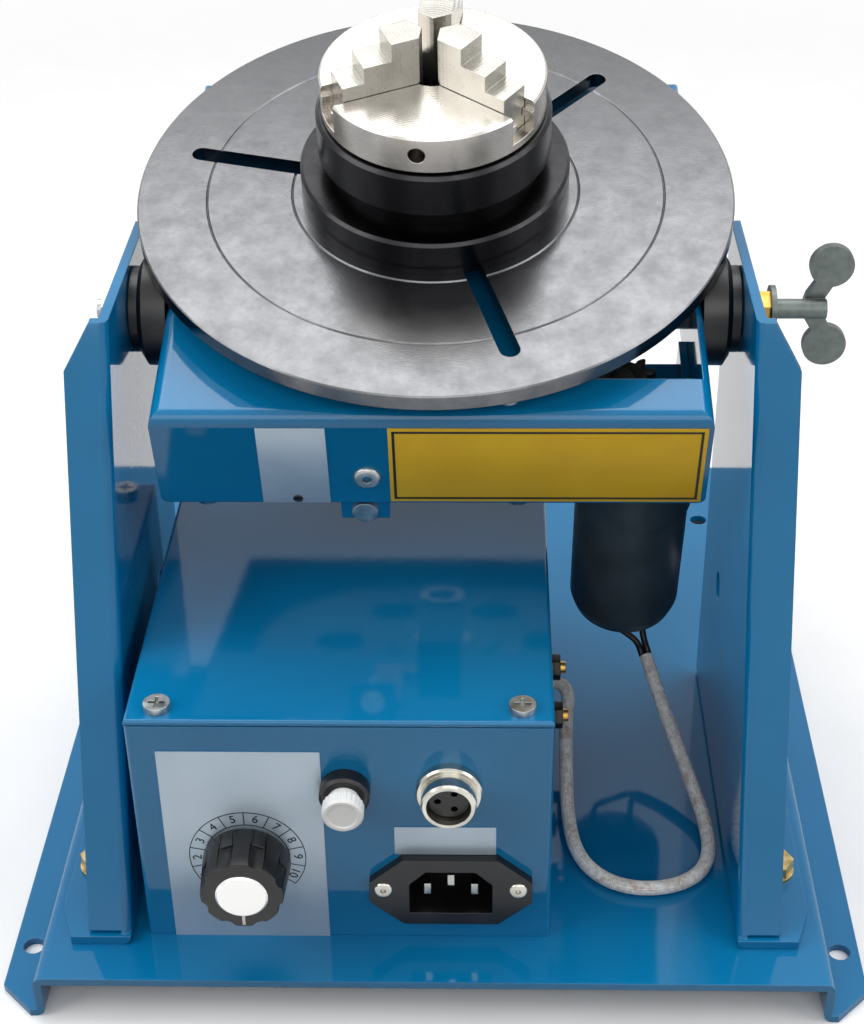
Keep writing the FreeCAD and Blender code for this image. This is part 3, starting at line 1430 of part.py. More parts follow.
doc.recompute()
for thing in doc.Objects:
    if "Invalid" in thing.State or "Error" in thing.State:
        raise RuntimeError("%s failed: %s" % (thing.Label, thing.State))
for thing in NODES:
    if thing.Shape.isNull() or not thing.Shape.isValid():
        raise RuntimeError("%s has no valid shape" % thing.Label)
for thing in NODES:
    thing.Shape.exportStep("parts/%s.step" % thing.Label)
print(len(NODES), "nodes written")
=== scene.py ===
# %% [markdown]
# # Dressing a bench welding positioner
#
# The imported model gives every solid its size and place.  This script adds what a solid
# model does not hold: finishes, the printed dial, bare plates, small screws, the woven
# sleeve of the motor lead, the light and the camera.  Places on the machine are written in
# millimetres and turned into metres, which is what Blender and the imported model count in.
# The camera and the lamps are placed in metres.

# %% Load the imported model
import json
import math

import bpy
from mathutils import Matrix, Vector


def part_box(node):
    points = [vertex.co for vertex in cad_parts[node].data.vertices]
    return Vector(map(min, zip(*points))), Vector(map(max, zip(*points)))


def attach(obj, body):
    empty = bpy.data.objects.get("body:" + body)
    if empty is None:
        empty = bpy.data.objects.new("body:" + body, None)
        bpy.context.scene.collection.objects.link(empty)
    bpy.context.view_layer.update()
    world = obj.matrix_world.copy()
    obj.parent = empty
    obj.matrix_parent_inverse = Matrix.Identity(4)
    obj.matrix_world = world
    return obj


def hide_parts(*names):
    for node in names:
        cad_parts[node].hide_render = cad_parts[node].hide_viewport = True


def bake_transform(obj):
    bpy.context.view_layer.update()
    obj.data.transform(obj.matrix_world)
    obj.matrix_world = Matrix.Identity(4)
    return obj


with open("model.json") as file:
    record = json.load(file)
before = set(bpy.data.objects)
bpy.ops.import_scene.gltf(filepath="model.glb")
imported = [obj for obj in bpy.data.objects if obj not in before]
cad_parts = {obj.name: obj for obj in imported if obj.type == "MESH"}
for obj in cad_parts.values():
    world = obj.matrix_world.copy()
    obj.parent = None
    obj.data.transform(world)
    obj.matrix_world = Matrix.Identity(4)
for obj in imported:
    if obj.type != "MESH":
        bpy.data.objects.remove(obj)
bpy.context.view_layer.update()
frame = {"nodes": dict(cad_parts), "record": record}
nodes = frame["nodes"]
MM = 0.001
print("loaded", len(nodes), "solids")

# %% [markdown]
# ## The tilted axes of the cradle
#
# The table, the chuck and the cradle lean towards the operator.  Pieces that sit on them
# are easiest to model upright, in the cradle's own axes, and then turned into place.
# The matrix below does that: its origin is the pivot between the uprights.

# %% Cradle axes
PIVOT = Vector((0, -26 * MM, 175.6 * MM))
REST_TILT = math.radians(15.7)
CRADLE_AXES = Matrix.Translation(PIVOT) @ Matrix.Rotation(REST_TILT, 4, "X")
SPINDLE_BACK, TABLE_TOP = 28.6, 23.4
SPINDLE_POINT = CRADLE_AXES @ Vector((0, SPINDLE_BACK * MM, TABLE_TOP * MM))
print("spindle axis passes", [round(v, 4) for v in SPINDLE_POINT])

# %% [markdown]
# ## The camera
#
# A picture of a machine is taken from a little above, looking down at the controls.
# The camera is placed by its position and by three directions, and the lens is given in
# millimetres for a 36 mm sensor.

# %% Camera
YAW, PITCH, ROLL = math.radians(-1.56), math.radians(32.63), math.radians(0.70)
CAMERA_PLACE = (0.01592, -0.53758, 0.43043)

heading = Vector((math.sin(YAW), math.cos(YAW), 0))
forward = heading * math.cos(PITCH) - Vector((0, 0, math.sin(PITCH)))
level = Vector((math.cos(YAW), -math.sin(YAW), 0))
steep = forward.cross(level)
right = level * math.cos(ROLL) + steep * math.sin(ROLL)
down = steep * math.cos(ROLL) - level * math.sin(ROLL)

camera_data = bpy.data.cameras.new("studio_camera")
camera = bpy.data.objects.new("studio_camera", camera_data)
bpy.context.scene.collection.objects.link(camera)
facing = Matrix((right, -down, -forward)).transposed().to_4x4()
camera.matrix_world = Matrix.Translation(CAMERA_PLACE) @ facing
camera_data.sensor_width = 36
camera_data.lens = 66.24
camera_data.shift_x = -0.01187
bpy.context.scene.camera = camera
bpy.context.scene.view_settings.view_transform = "Standard"
print("the camera looks down by", round(math.degrees(PITCH), 1), "degrees")

# %% [markdown]
# ## Helpers for materials
#
# Colours are written as they look on a screen, as hex values, and Blender wants linear
# light, so one function turns them.  One more function adds a node with its settings and
# links.  Patterns read Object coordinates, which are metres here, so a pattern of a given
# size in millimetres needs a scale of 1000 divided by that size.

# %% Colours and nodes
def colour(hex_text):
    """An sRGB hex value as linear RGBA."""
    parts = [int(hex_text[i:i + 2], 16) / 255 for i in (1, 3, 5)]
    linear = [p / 12.92 if p <= 0.04045 else ((p + 0.055) / 1.055) ** 2.4 for p in parts]
    return (*linear, 1)


def node(material, kind, settings=None, links=None, stops=(), **inputs):
    """Add one shader node.

    Settings are its properties, inputs its socket values, links what feeds its sockets,
    and stops the positions and colours of a ramp."""
    made = material.node_tree.nodes.new("ShaderNode" + kind)
    for key, value in (settings or {}).items():
        setattr(made, key, value)
    for key, value in inputs.items():
        made.inputs[key.replace("_", " ")].default_value = value
    for key, source in (links or {}).items():
        material.node_tree.links.new(source, made.inputs[key])
    for number, (position, value) in enumerate(stops):
        made.color_ramp.elements[number].position = position
        made.color_ramp.elements[number].color = value
    return made


def link(material, source, target):
    material.node_tree.links.new(source, target)


def new_material(name, **inputs):
    """A material with one Principled shader, whose own sockets hold the constants."""
    material = bpy.data.materials.new(name)
    material.use_nodes = True
    shader = material.node_tree.nodes["Principled BSDF"]
    for key, value in inputs.items():
        shader.inputs[key.replace("_", " ")].default_value = value
    return material, shader


# %% [markdown]
# ## How a finish is built up
#
# Real surfaces are never even.  Each finish here takes a cloudy pattern of a real size and
# lets it move the colour and the roughness a little.  Then it presses finer patterns into
# the surface as relief, on top of edges that look slightly rounded, so that they catch the
# light as worn or painted edges do.

# %% Scales, variation and relief
def per_metre(size_mm):
    """The texture scale for a pattern of that size in millimetres."""
    return 1000 / size_mm


def ring_scale(spacing_mm):
    """The same for the wave texture's rings, which repeat every pi / 10 metres at scale 1."""
    return per_metre(spacing_mm) * math.pi / 10


def object_coordinates(material, location=(0, 0, 0), rotation=(0, 0, 0)):
    """Object coordinates, moved so that a pattern centres on a piece."""
    place = node(material, "TexCoord").outputs["Object"]
    mapping = node(material, "Mapping", {"vector_type": "TEXTURE"}, {"Vector": place},
                   Location=location, Rotation=rotation)
    return mapping.outputs["Vector"]


def vary(material, target, pattern, **ranges):
    """Let a grey pattern move sockets of a node between two values each.

    A range is two hex colours or two numbers.  The greys of the pattern at which they are
    reached may follow, and are 0.3 and 0.7 where they don't."""
    for socket, (low, high, *greys) in ranges.items():
        ends = [colour(value) if isinstance(value, str) else (value, value, value, 1)
                for value in (low, high)]
        ramp = node(material, "ValToRGB", links={"Fac": pattern}, stops=zip(greys or (0.3, 0.7), ends))
        link(material, ramp.outputs["Color"], target.inputs[socket.replace("_", " ")])


def emboss(material, shader, edge_mm, *patterns):
    """Round the edges, then press patterns in: each is a grey height, a strength and a depth."""
    normal = None
    if edge_mm:
        normal = node(material, "Bevel", {"samples": 6}, Radius=edge_mm * MM).outputs["Normal"]
    for height, strength, depth_mm in patterns:
        feeds = {"Height": height} if normal is None else {"Height": height, "Normal": normal}
        pressed = node(material, "Bump", links=feeds, Strength=strength, Distance=depth_mm * MM)
        normal = pressed.outputs["Normal"]
    link(material, normal, shader.inputs["Normal"])


# %% [markdown]
# ## Blue baked enamel
#
# The folded sheets are sprayed with alkyd enamel and baked.  That leaves a hard, very
# glossy film with a faint orange peel: low bumps a few millimetres apart.  The film is one
# smooth surface over its own pigment, so the shader has one low roughness and no coat.
# The peel is drawn at 3.2 mm spacing, and its colour clouds are as wide as a spray pass.

# %% Blue enamel
def blue_enamel():
    material, shader = new_material("blue_baked_enamel", Roughness=0.07, IOR=1.5,
                                    Specular_IOR_Level=0.4)
    place = object_coordinates(material)
    cloud = node(material, "TexNoise", links={"Vector": place}, Scale=per_metre(60), Detail=3)
    peel = node(material, "TexNoise", links={"Vector": place}, Scale=per_metre(3.2), Detail=1.5)
    vary(material, shader, cloud.outputs["Fac"], Base_Color=("#066C9E", "#0975A8"))
    emboss(material, shader, 0.5, (peel.outputs["Fac"], 0.10, 0.1))
    return material


# %% [markdown]
# ## Blackened steel
#
# The table, the hub and the scroll ring are turned and then blackened in a hot salt bath.
# The oxide is a thin dark film on metal, so it mirrors softly: bright where it faces the
# lamp and nearly black where it faces the hub.  It is stained in patches of about 9 mm and
# has a fine grit, which glitters at the edge of a reflection.  The marks of turning stay
# in it as rings 0.6 mm apart, a little coarser than a real feed mark so that they show.

# %% Blackened steel
def turned_rings(material, spacing_mm):
    """Fine rings about the tilted spindle axis."""
    place = object_coordinates(material, SPINDLE_POINT, (REST_TILT, 0, 0))
    rings = node(material, "TexWave", {"wave_type": "RINGS", "rings_direction": "Z"},
                 {"Vector": place}, Scale=ring_scale(spacing_mm), Distortion=1.2, Detail=2.0,
                 Detail_Scale=2.0)
    return rings.outputs["Fac"]


def black_oxide(name, dark, pale, roughness, grit):
    material, shader = new_material(name, Metallic=1.0)
    place = object_coordinates(material)
    stain = node(material, "TexNoise", links={"Vector": place}, Scale=per_metre(9), Detail=7,
                 Roughness=0.66)
    sand = node(material, "TexNoise", links={"Vector": place}, Scale=per_metre(0.55), Detail=2)
    vary(material, shader, stain.outputs["Fac"], Base_Color=(dark, pale, 0.25, 0.75),
         Roughness=(roughness + 0.07, roughness, 0.35, 0.65))
    emboss(material, shader, 0.25, (turned_rings(material, 0.6), 0.1, 0.02),
           (sand.outputs["Fac"], grit, 0.06))
    return material


# %% [markdown]
# ## Bright machined steel
#
# The chuck's body and jaws are ground bright.  Steel like this mirrors its surroundings,
# broken by the fine marks of the tool, so it is a full metal with low roughness, and the
# tool marks run in rings on what was turned.

# %% Bright steel
def bright_steel(name, tint, worn, roughness, spacing_mm):
    material, shader = new_material(name, Metallic=1.0)
    place = object_coordinates(material)
    smear = node(material, "TexNoise", links={"Vector": place}, Scale=per_metre(9), Detail=4)
    vary(material, shader, smear.outputs["Fac"], Base_Color=(tint, worn, 0.3, 0.75),
         Roughness=(roughness, roughness + 0.06))
    emboss(material, shader, 0.25, (turned_rings(material, spacing_mm), 0.25, 0.03))
    return material


# %% [markdown]
# ## Plated and plain metals
#
# Small parts are zinc plated, nickel plated or plain brass.  They differ in colour and in
# how cloudy the plating is, so one function takes the colour, the roughness and the size
# of the cloudiness in millimetres.

# %% Plated metals
def plated(name, dark, pale, roughness, cloud_mm):
    material, shader = new_material(name, Metallic=1.0)
    place = object_coordinates(material)
    cloud = node(material, "TexNoise", links={"Vector": place}, Scale=per_metre(cloud_mm), Detail=4)
    grain = node(material, "TexNoise", links={"Vector": place}, Scale=per_metre(0.8), Detail=2)
    vary(material, shader, cloud.outputs["Fac"], Base_Color=(dark, pale),
         Roughness=(roughness, roughness + 0.15))
    emboss(material, shader, 0.2, (grain.outputs["Fac"], 0.15, 0.03))
    return material


# %% [markdown]
# ## Moulded plastics, rubber and paint
#
# Knob, inlet and bushes are moulded in black thermoplastic: a dielectric, with a fine
# sparked grain from the mould.  The same function serves the white button, the rubber
# wires and the motor's paint, which differ in colour, gloss and grain.

# %% Plastics and paint
def moulded(name, dark, pale, roughness, grain_mm, depth_mm):
    material, shader = new_material(name, IOR=1.49)
    place = object_coordinates(material)
    cloud = node(material, "TexNoise", links={"Vector": place}, Scale=per_metre(12), Detail=3)
    grain = node(material, "TexNoise", links={"Vector": place}, Scale=per_metre(grain_mm), Detail=2)
    vary(material, shader, cloud.outputs["Fac"], Base_Color=(dark, pale),
         Roughness=(roughness, roughness + 0.1))
    emboss(material, shader, 0.3, (grain.outputs["Fac"], 0.4, depth_mm))
    return material


# %% [markdown]
# ## Spun aluminium
#
# The cap of the knob is a disc of aluminium faced on a lathe.  The tool leaves fine rings
# about the knob's axis, and together they give the disc a conical sheen that turns with
# the light.  The rings are centred on the cap and drawn 0.35 mm apart.

# %% Spun aluminium
def spun_metal(name, dark, pale, spacing_mm):
    material, shader = new_material(name, Metallic=1.0)
    low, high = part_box("knob_cap")
    place = object_coordinates(material, (low + high) / 2)
    rings = node(material, "TexWave", {"wave_type": "RINGS", "rings_direction": "Y"},
                 {"Vector": place}, Scale=ring_scale(spacing_mm), Distortion=0.2, Detail=1.0)
    vary(material, shader, rings.outputs["Fac"], Base_Color=(dark, pale), Roughness=(0.2, 0.3))
    emboss(material, shader, 0.2, (rings.outputs["Fac"], 0.35, 0.04))
    return material


# %% [markdown]
# ## The finishes of the solids
#
# Each finish is made once.  Most solids get theirs by the name of their material slot, and
# a few that look different from the rest of their slot are named one by one.  The lead is
# given plain rubber here, because its woven sleeve is modelled further down.

# %% Finishes of the solids
ENAMEL = blue_enamel()
TABLE_BLACK = black_oxide("black_oxide_turned_table", "#5C5D5F", "#747577", 0.19, 0.35)
# The hub's oxide is the table's made darker: painted shade, as the hub and scroll ring lie in shade
# under the chuck.
SHADED_HUB_BLACK = black_oxide("black_oxide_hub_painted_shade", "#2A2A2C", "#38383A", 0.22, 0.15)
CHUCK_STEEL = bright_steel("ground_chuck_steel", "#C6C1BA", "#D2CEC8", 0.22, 0.8)
JAW_STEEL = bright_steel("ground_jaw_steel", "#A3A19B", "#B6B4AE", 0.24, 1.1)
ZINC = plated("zinc_plated_steel", "#8E9291", "#C3C6C4", 0.30, 4)
GREY_ZINC = plated("grey_hot_dipped_zinc", "#5F6663", "#757C79", 0.42, 2.5)
YELLOW_ZINC = plated("yellow_passivated_zinc", "#8C7A4E", "#CDB987", 0.28, 3)
BRASS = plated("turned_brass", "#A77B32", "#D9B469", 0.24, 5)
NICKEL = plated("nickel_plated_brass", "#A9A79F", "#DAD8CF", 0.14, 8)
ALUMINIUM = spun_metal("spun_aluminium", "#DFDFDC", "#F1F1EE", 0.35)
BEARING = plated("ground_bearing_steel", "#A5A8AA", "#D5D8DA", 0.12, 10)
GEAR_STEEL = plated("hobbed_gear_steel", "#5E5C57", "#8D8A84", 0.36, 6)
COPPER = plated("rolled_copper", "#8A4A2C", "#C98A62", 0.3, 5)
DARK_STEEL = plated("blackened_washer_steel", "#2A2826", "#4A4744", 0.4, 3)
MOTOR_PAINT = moulded("black_motor_paint", "#2A3134", "#384145", 0.36, 2.5, 0.02)
BLACK_PLASTIC = moulded("black_moulded_plastic", "#0A0A0B", "#151517", 0.30, 0.7, 0.03)
WHITE_PLASTIC = moulded("white_moulded_plastic", "#E9EAE8", "#F2F2F0", 0.22, 1.2, 0.01)
WIRE_RUBBER = moulded("black_wire_rubber", "#08080A", "#141416", 0.42, 0.6, 0.02)
BOARD = moulded("green_board_varnish", "#0C3A20", "#14502C", 0.25, 1.5, 0.02)
IRON = moulded("varnished_iron_stack", "#2C2722", "#443C34", 0.45, 0.9, 0.06)
CARBON = moulded("pressed_carbon", "#101011", "#1C1C1E", 0.5, 0.4, 0.03)

FINISHES = {
    "blue_enamel": ENAMEL, "black_oxide_steel": SHADED_HUB_BLACK, "bright_steel": CHUCK_STEEL,
    "zinc_steel": ZINC, "yellow_zinc": YELLOW_ZINC, "brass": BRASS, "bearing_steel": BEARING,
    "gear_steel": GEAR_STEEL, "motor_black": MOTOR_PAINT, "black_plastic": BLACK_PLASTIC,
    "white_plastic": WHITE_PLASTIC, "spun_aluminium": ALUMINIUM, "nickel": NICKEL,
    "wire_rubber": WIRE_RUBBER, "carbon": CARBON, "copper": COPPER, "board_green": BOARD,
    "transformer_iron": IRON, "glass_braid": WIRE_RUBBER,
}
OWN_FINISH = {
    "round_table": TABLE_BLACK, "chuck_jaw_1": JAW_STEEL, "chuck_jaw_2": JAW_STEEL,
    "chuck_jaw_3": JAW_STEEL, "clamp_washer": DARK_STEEL, "wing_screw": GREY_ZINC,
}
for part in frame["record"]["subparts"]:
    name = part["node"]
    solid = nodes[name]
    solid.data.materials.clear()
    solid.data.materials.append(OWN_FINISH.get(name, FINISHES[part["material_slot"]]))
used = {solid.data.materials[0].name for solid in nodes.values()}
print("finished", len(nodes), "solids with", len(used), "materials")

# %% [markdown]
# ## Selecting one piece at a time
#
# An operator acts on everything that is selected, and loading leaves every solid
# selected.  So each piece starts with nothing selected, and it alone is selected again
# before a modifier is applied or its mesh is edited.

# %% Selecting
def clear_selection():
    if bpy.context.object and bpy.context.object.mode != "OBJECT":
        bpy.ops.object.mode_set(mode="OBJECT")
    bpy.ops.object.select_all(action="DESELECT")


def only(piece):
    """Select one piece and make it the active one."""
    clear_selection()
    piece.select_set(True)
    bpy.context.view_layer.objects.active = piece
    return piece


# %% [markdown]
# ## Rounding and finishing a piece
#
# No real edge is quite sharp, so every new piece gets a small bevel.  A finished piece
# keeps its place in its mesh: its object goes back to the origin, unturned and unscaled,
# as the solids are.  Then it is told which moving body carries it.

# %% Rounding and finishing
def bevel(piece, width_mm, segments=2, angle=30):
    """Round the sharp edges and apply the modifier."""
    only(piece)
    rounding = piece.modifiers.new("rounding", "BEVEL")
    rounding.width = width_mm * MM
    rounding.segments = segments
    rounding.limit_method = "ANGLE"
    rounding.angle_limit = math.radians(angle)
    bpy.ops.object.modifier_apply(modifier="rounding")
    return piece


def settle(piece, name, material, body, axes=None):
    """Apply the place, give the finish, shade it and let it ride on its body."""
    only(piece)
    if axes is not None:
        piece.matrix_world = axes @ piece.matrix_world
    bpy.context.view_layer.update()
    bpy.ops.object.transform_apply(location=True, rotation=True, scale=True)
    piece.name = name
    piece.data.name = name
    piece.data.materials.clear()
    piece.data.materials.append(material)
    bpy.ops.object.shade_smooth_by_angle(angle=math.radians(32))
    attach(piece, body)
    return piece


# %% [markdown]
# ## Foil and ink
#
# The plates are satin aluminium foil under a thin lacquer: even, with a faint grain of
# half a millimetre.  What is printed on them is silk-screen ink, which is a little matt
# and a little uneven.  Both are needed for the dial, and for the bare plates after it.

# %% Foil and ink
def satin_foil(name, dark, pale, roughness):
    material, shader = new_material(name, Metallic=0.3)
    place = object_coordinates(material)
    cloud = node(material, "TexNoise", links={"Vector": place}, Scale=per_metre(25), Detail=2)
    grain = node(material, "TexNoise", links={"Vector": place}, Scale=per_metre(0.5), Detail=2)
    vary(material, shader, cloud.outputs["Fac"], Base_Color=(dark, pale),
         Roughness=(roughness, roughness + 0.06))
    emboss(material, shader, 0, (grain.outputs["Fac"], 0.1, 0.01))
    return material


def printing_ink(name, dark, pale):
    material, shader = new_material(name, IOR=1.5, Specular_IOR_Level=0.3)
    place = object_coordinates(material)
    spread = node(material, "TexNoise", links={"Vector": place}, Scale=per_metre(14), Detail=3)
    vary(material, shader, spread.outputs["Fac"], Base_Color=(dark, pale), Roughness=(0.30, 0.38))
    return material


SILVER_FOIL = satin_foil("satin_silver_foil", "#ABBBC8", "#B6C5D1", 0.34)
BLACK_INK = printing_ink("black_silkscreen_ink", "#101214", "#1D2023")

# %% [markdown]
# ## The dial plate
#
# A printed plate is glued to the front panel behind the knob.  It is a thin box with its
# edges rounded, and it stands where the panel and the knob are, which are measured first.

# %% Thin plates
def plate(x0, x1, z0, z1, y, thickness):
    """A thin plate that stands against a front wall, edges in millimetres."""
    clear_selection()
    centre = ((x0 + x1) / 2 * MM, (y - thickness / 2) * MM, (z0 + z1) / 2 * MM)
    bpy.ops.mesh.primitive_cube_add(size=1, location=centre)
    piece = bpy.context.object
    piece.scale = ((x1 - x0) * MM, thickness * MM, (z1 - z0) * MM)
    bpy.ops.object.transform_apply(location=False, rotation=False, scale=True)
    return piece


# %% Dial plate
DIAL_EDGES = (-78, -31.3, 14.9, 86.9)
DIAL_FOIL = 0.4
PANEL_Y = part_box("control_box")[0].y / MM
knob_low, knob_high = (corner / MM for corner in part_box("speed_knob"))
KNOB_X, KNOB_Z = (knob_low.x + knob_high.x) / 2, (knob_low.z + knob_high.z) / 2
print("the knob turns about", round(KNOB_X, 2), round(KNOB_Z, 2), "on the panel at", round(PANEL_Y, 2))

dial = bevel(plate(*DIAL_EDGES, PANEL_Y, DIAL_FOIL), 0.12)
settle(dial, "dial_plate", SILVER_FOIL, "base")

# %% [markdown]
# ## Lines and numbers of the dial
#
# The scale is printed: two arcs, eleven ticks between them and the numbers 1 to 10 in the
# gaps.  An arc or a tick is an outline pushed back by the thickness of the ink, and a
# number is a text object turned into a mesh, so that all of it stays part of the model.

# %% Lines of the dial
INK_FILM, LINE_WIDTH = 0.08, 0.26
INK_Y = PANEL_Y - DIAL_FOIL - INK_FILM
FIRST, LAST = math.radians(-129.5), math.radians(127.6)
OUTER_RING, INNER_RING = 17.1, 12.4
GAPS = 10


def join(pieces):
    """Make one object of several and leave it selected."""
    clear_selection()
    for piece in pieces:
        piece.select_set(True)
    bpy.context.view_layer.objects.active = pieces[0]
    bpy.ops.object.join()
    return pieces[0]


def flat_mesh(points, name):
    """A flat outline facing the operator, as thick as the ink."""
    mesh = bpy.data.meshes.new(name)
    mesh.from_pydata(points, [], [tuple(range(len(points)))])
    piece = bpy.data.objects.new(name, mesh)
    bpy.context.scene.collection.objects.link(piece)
    only(piece)
    bpy.ops.object.mode_set(mode="EDIT")
    bpy.ops.mesh.select_all(action="SELECT")
    bpy.ops.mesh.extrude_region_move(TRANSFORM_OT_translate={"value": (0, INK_FILM * MM, 0)})
    bpy.ops.mesh.select_all(action="SELECT")
    bpy.ops.mesh.normals_make_consistent(inside=False)
    bpy.ops.object.mode_set(mode="OBJECT")
    return piece


def dial_point(radius, angle, y=INK_Y):
    return Vector(((KNOB_X + radius * math.sin(angle)) * MM, y * MM,
                   (KNOB_Z + radius * math.cos(angle)) * MM))


def arc_line(radius, steps=72):
    angles = [FIRST + (LAST - FIRST) * i / steps for i in range(steps + 1)]
    outer = [dial_point(radius + LINE_WIDTH / 2, angle) for angle in angles]
    inner = [dial_point(radius - LINE_WIDTH / 2, angle) for angle in reversed(angles)]
    return flat_mesh(outer + inner, "arc")


marks = [arc_line(OUTER_RING), arc_line(INNER_RING)]
for number in range(GAPS + 1):
    angle = FIRST + (LAST - FIRST) * number / GAPS
    side = Vector((math.cos(angle), 0, -math.sin(angle))) * LINE_WIDTH / 2 * MM
    low, high = dial_point(INNER_RING, angle), dial_point(OUTER_RING, angle)
    marks.append(flat_mesh([low - side, high - side, high + side, low + side], "tick"))
print("dial has", len(marks) - 2, "ticks")

# %% Numbers of the dial
DIGIT_SIZE, DIGIT_HALF = 3.9, 0.06
DIGIT_RING = (OUTER_RING + INNER_RING) / 2
for number in range(1, GAPS + 1):
    angle = FIRST + (LAST - FIRST) * (number - 0.5) / GAPS
    clear_selection()
    bpy.ops.object.text_add(location=dial_point(DIGIT_RING, angle, INK_Y + DIGIT_HALF),
                            rotation=(math.radians(90), angle, 0))
    digit = bpy.context.object
    digit.data.body = str(number)
    digit.data.align_x = "CENTER"
    digit.data.align_y = "CENTER"
    digit.data.size = DIGIT_SIZE * MM
    digit.data.extrude = DIGIT_HALF * MM
    only(digit)
    bpy.ops.object.convert(target="MESH")
    marks.append(bpy.context.object)
dial_scale = join(marks)
settle(dial_scale, "dial_scale", BLACK_INK, "base")
print("dial scale has", len(dial_scale.data.polygons), "faces")

# %% [markdown]
# ## Bare plates
#
# Small foil plates are glued above the mains inlet and on the front of the cradle.  They
# carry nothing here.  The foil is 0.3 mm thick with hardly rounded edges.  The yellow one
# is printed vinyl with a dark line near its rim, which is made of four strips.

# %% Bare silver plates
PLATE_FOIL, PLATE_EDGE = 0.3, 0.1
CRADLE_FRONT = -57.4
INLET_GAP, INLET_PLATE_HEIGHT = 0.1, 10.5
plate_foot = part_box("power_inlet")[1].z / MM + INLET_GAP
INLET_EDGES = (-10.9, 18.7, plate_foot, plate_foot + INLET_PLATE_HEIGHT)
inlet_plate = bevel(plate(*INLET_EDGES, PANEL_Y, PLATE_FOIL), PLATE_EDGE)
settle(inlet_plate, "bare_plate_above_inlet", SILVER_FOIL, "base")

SILVER_EDGES = (-49.2, -29.6, -23.4, 7.3)
silver = bevel(plate(*SILVER_EDGES, CRADLE_FRONT, PLATE_FOIL), PLATE_EDGE)
settle(silver, "bare_silver_plate", SILVER_FOIL, "cradle", CRADLE_AXES)
print("silver plate is", round(SILVER_EDGES[1] - SILVER_EDGES[0], 1), "mm wide")

# %% Bare yellow plate and its border
YELLOW_INK = printing_ink("yellow_printed_vinyl", "#DDAE18", "#E4B822")
BORDER_INK = printing_ink("dark_printed_border", "#1A1812", "#2A261C")
YELLOW_EDGES = (-12.1, 77.5, -22.8, 7.3)
yellow = bevel(plate(*YELLOW_EDGES, CRADLE_FRONT, PLATE_FOIL), PLATE_EDGE)
settle(yellow, "bare_yellow_plate", YELLOW_INK, "cradle", CRADLE_AXES)

BORDER_WIDTH, BORDER_FILM = 0.8, 0.05
LEFT, RIGHT, BOTTOM, TOP = -11, 76.4, -21.7, 6.2
strips = []
for edges in ((LEFT, RIGHT, TOP - BORDER_WIDTH, TOP), (LEFT, RIGHT, BOTTOM, BOTTOM + BORDER_WIDTH),
              (LEFT, LEFT + BORDER_WIDTH, BOTTOM, TOP), (RIGHT - BORDER_WIDTH, RIGHT, BOTTOM, TOP)):
    strips.append(plate(*edges, CRADLE_FRONT - PLATE_FOIL, BORDER_FILM))
border = join(strips)
settle(border, "yellow_plate_border", BORDER_INK, "cradle", CRADLE_AXES)
print("yellow plate is", round(YELLOW_EDGES[1] - YELLOW_EDGES[0], 1), "mm wide")

# %% [markdown]
# ## Cutting holes and facing the operator
#
# A hole is cut with a boolean modifier: one piece is taken out of another and thrown away.
# Faces to be worked on in edit mode are picked by where they lie and which way they face.
# Round pieces are easiest to make standing on the ground, so they are made along +Z and
# then laid down to face the operator.

# %% Cutting and facing
def select_faces(piece, test):
    """In edit mode, select the faces whose centre and normal pass the test."""
    bpy.ops.mesh.select_mode(type="FACE")
    bpy.ops.mesh.select_all(action="DESELECT")
    bpy.ops.object.mode_set(mode="OBJECT")
    for face in piece.data.polygons:
        face.select = bool(test(face.center, face.normal))
    bpy.ops.object.mode_set(mode="EDIT")


def cut(piece, cutter):
    """Take one piece out of another and throw it away."""
    hollow = piece.modifiers.new("hollow", "BOOLEAN")
    hollow.object = cutter
    hollow.solver = "EXACT"
    only(piece)
    bpy.ops.object.modifier_apply(modifier="hollow")
    bpy.data.objects.remove(cutter)


def face_operator(piece, x, y, z):
    """Lay down a piece that was made along +Z, so that it faces the operator at that place."""
    place = Matrix.Translation((x * MM, y * MM, z * MM))
    piece.matrix_world = place @ Matrix.Rotation(math.radians(90), 4, "X")
    return piece


# %% [markdown]
# ## A screw in the cradle, and the eyelets of the mains inlet
#
# Beside the yellow plate the cradle has a screw with a six-sided socket, and the mains
# inlet is held by two hollow eyelets.  Both are a low domed head with a hole in it, so one
# function makes both.  A short cylinder has the rim of its top rounded in edit mode, and a
# second cylinder, with six sides or round, is cut out of it.

# %% Socket heads
DOME_SHARE, HOLE_SHARE = 0.45, 0.7


def socket_head(head_mm, height_mm, hole_mm, sides):
    """A head along +Z whose rim is domed and whose hole is deep by those shares of its height."""
    clear_selection()
    bpy.ops.mesh.primitive_cylinder_add(vertices=48, radius=head_mm / 2 * MM,
                                        depth=height_mm * MM, location=(0, 0, height_mm / 2 * MM))
    head = bpy.context.object
    bpy.ops.object.mode_set(mode="EDIT")
    select_faces(head, lambda centre, normal: normal.z > 0.9)
    bpy.ops.mesh.bevel(offset=height_mm * DOME_SHARE * MM, segments=5, affect="EDGES")
    clear_selection()
    bpy.ops.mesh.primitive_cylinder_add(vertices=sides, radius=hole_mm / 2 * MM,
                                        depth=height_mm * HOLE_SHARE * 2 * MM,
                                        location=(0, 0, height_mm * MM))
    cut(head, bpy.context.object)
    return only(head)


SCREW_X, SCREW_Z = -18.6, -12.8
screw_head = socket_head(head_mm=8.0, height_mm=2.4, hole_mm=2.9, sides=6)
cradle_screw = face_operator(screw_head, SCREW_X, CRADLE_FRONT, SCREW_Z)
settle(cradle_screw, "cradle_front_screw", ZINC, "cradle", CRADLE_AXES)

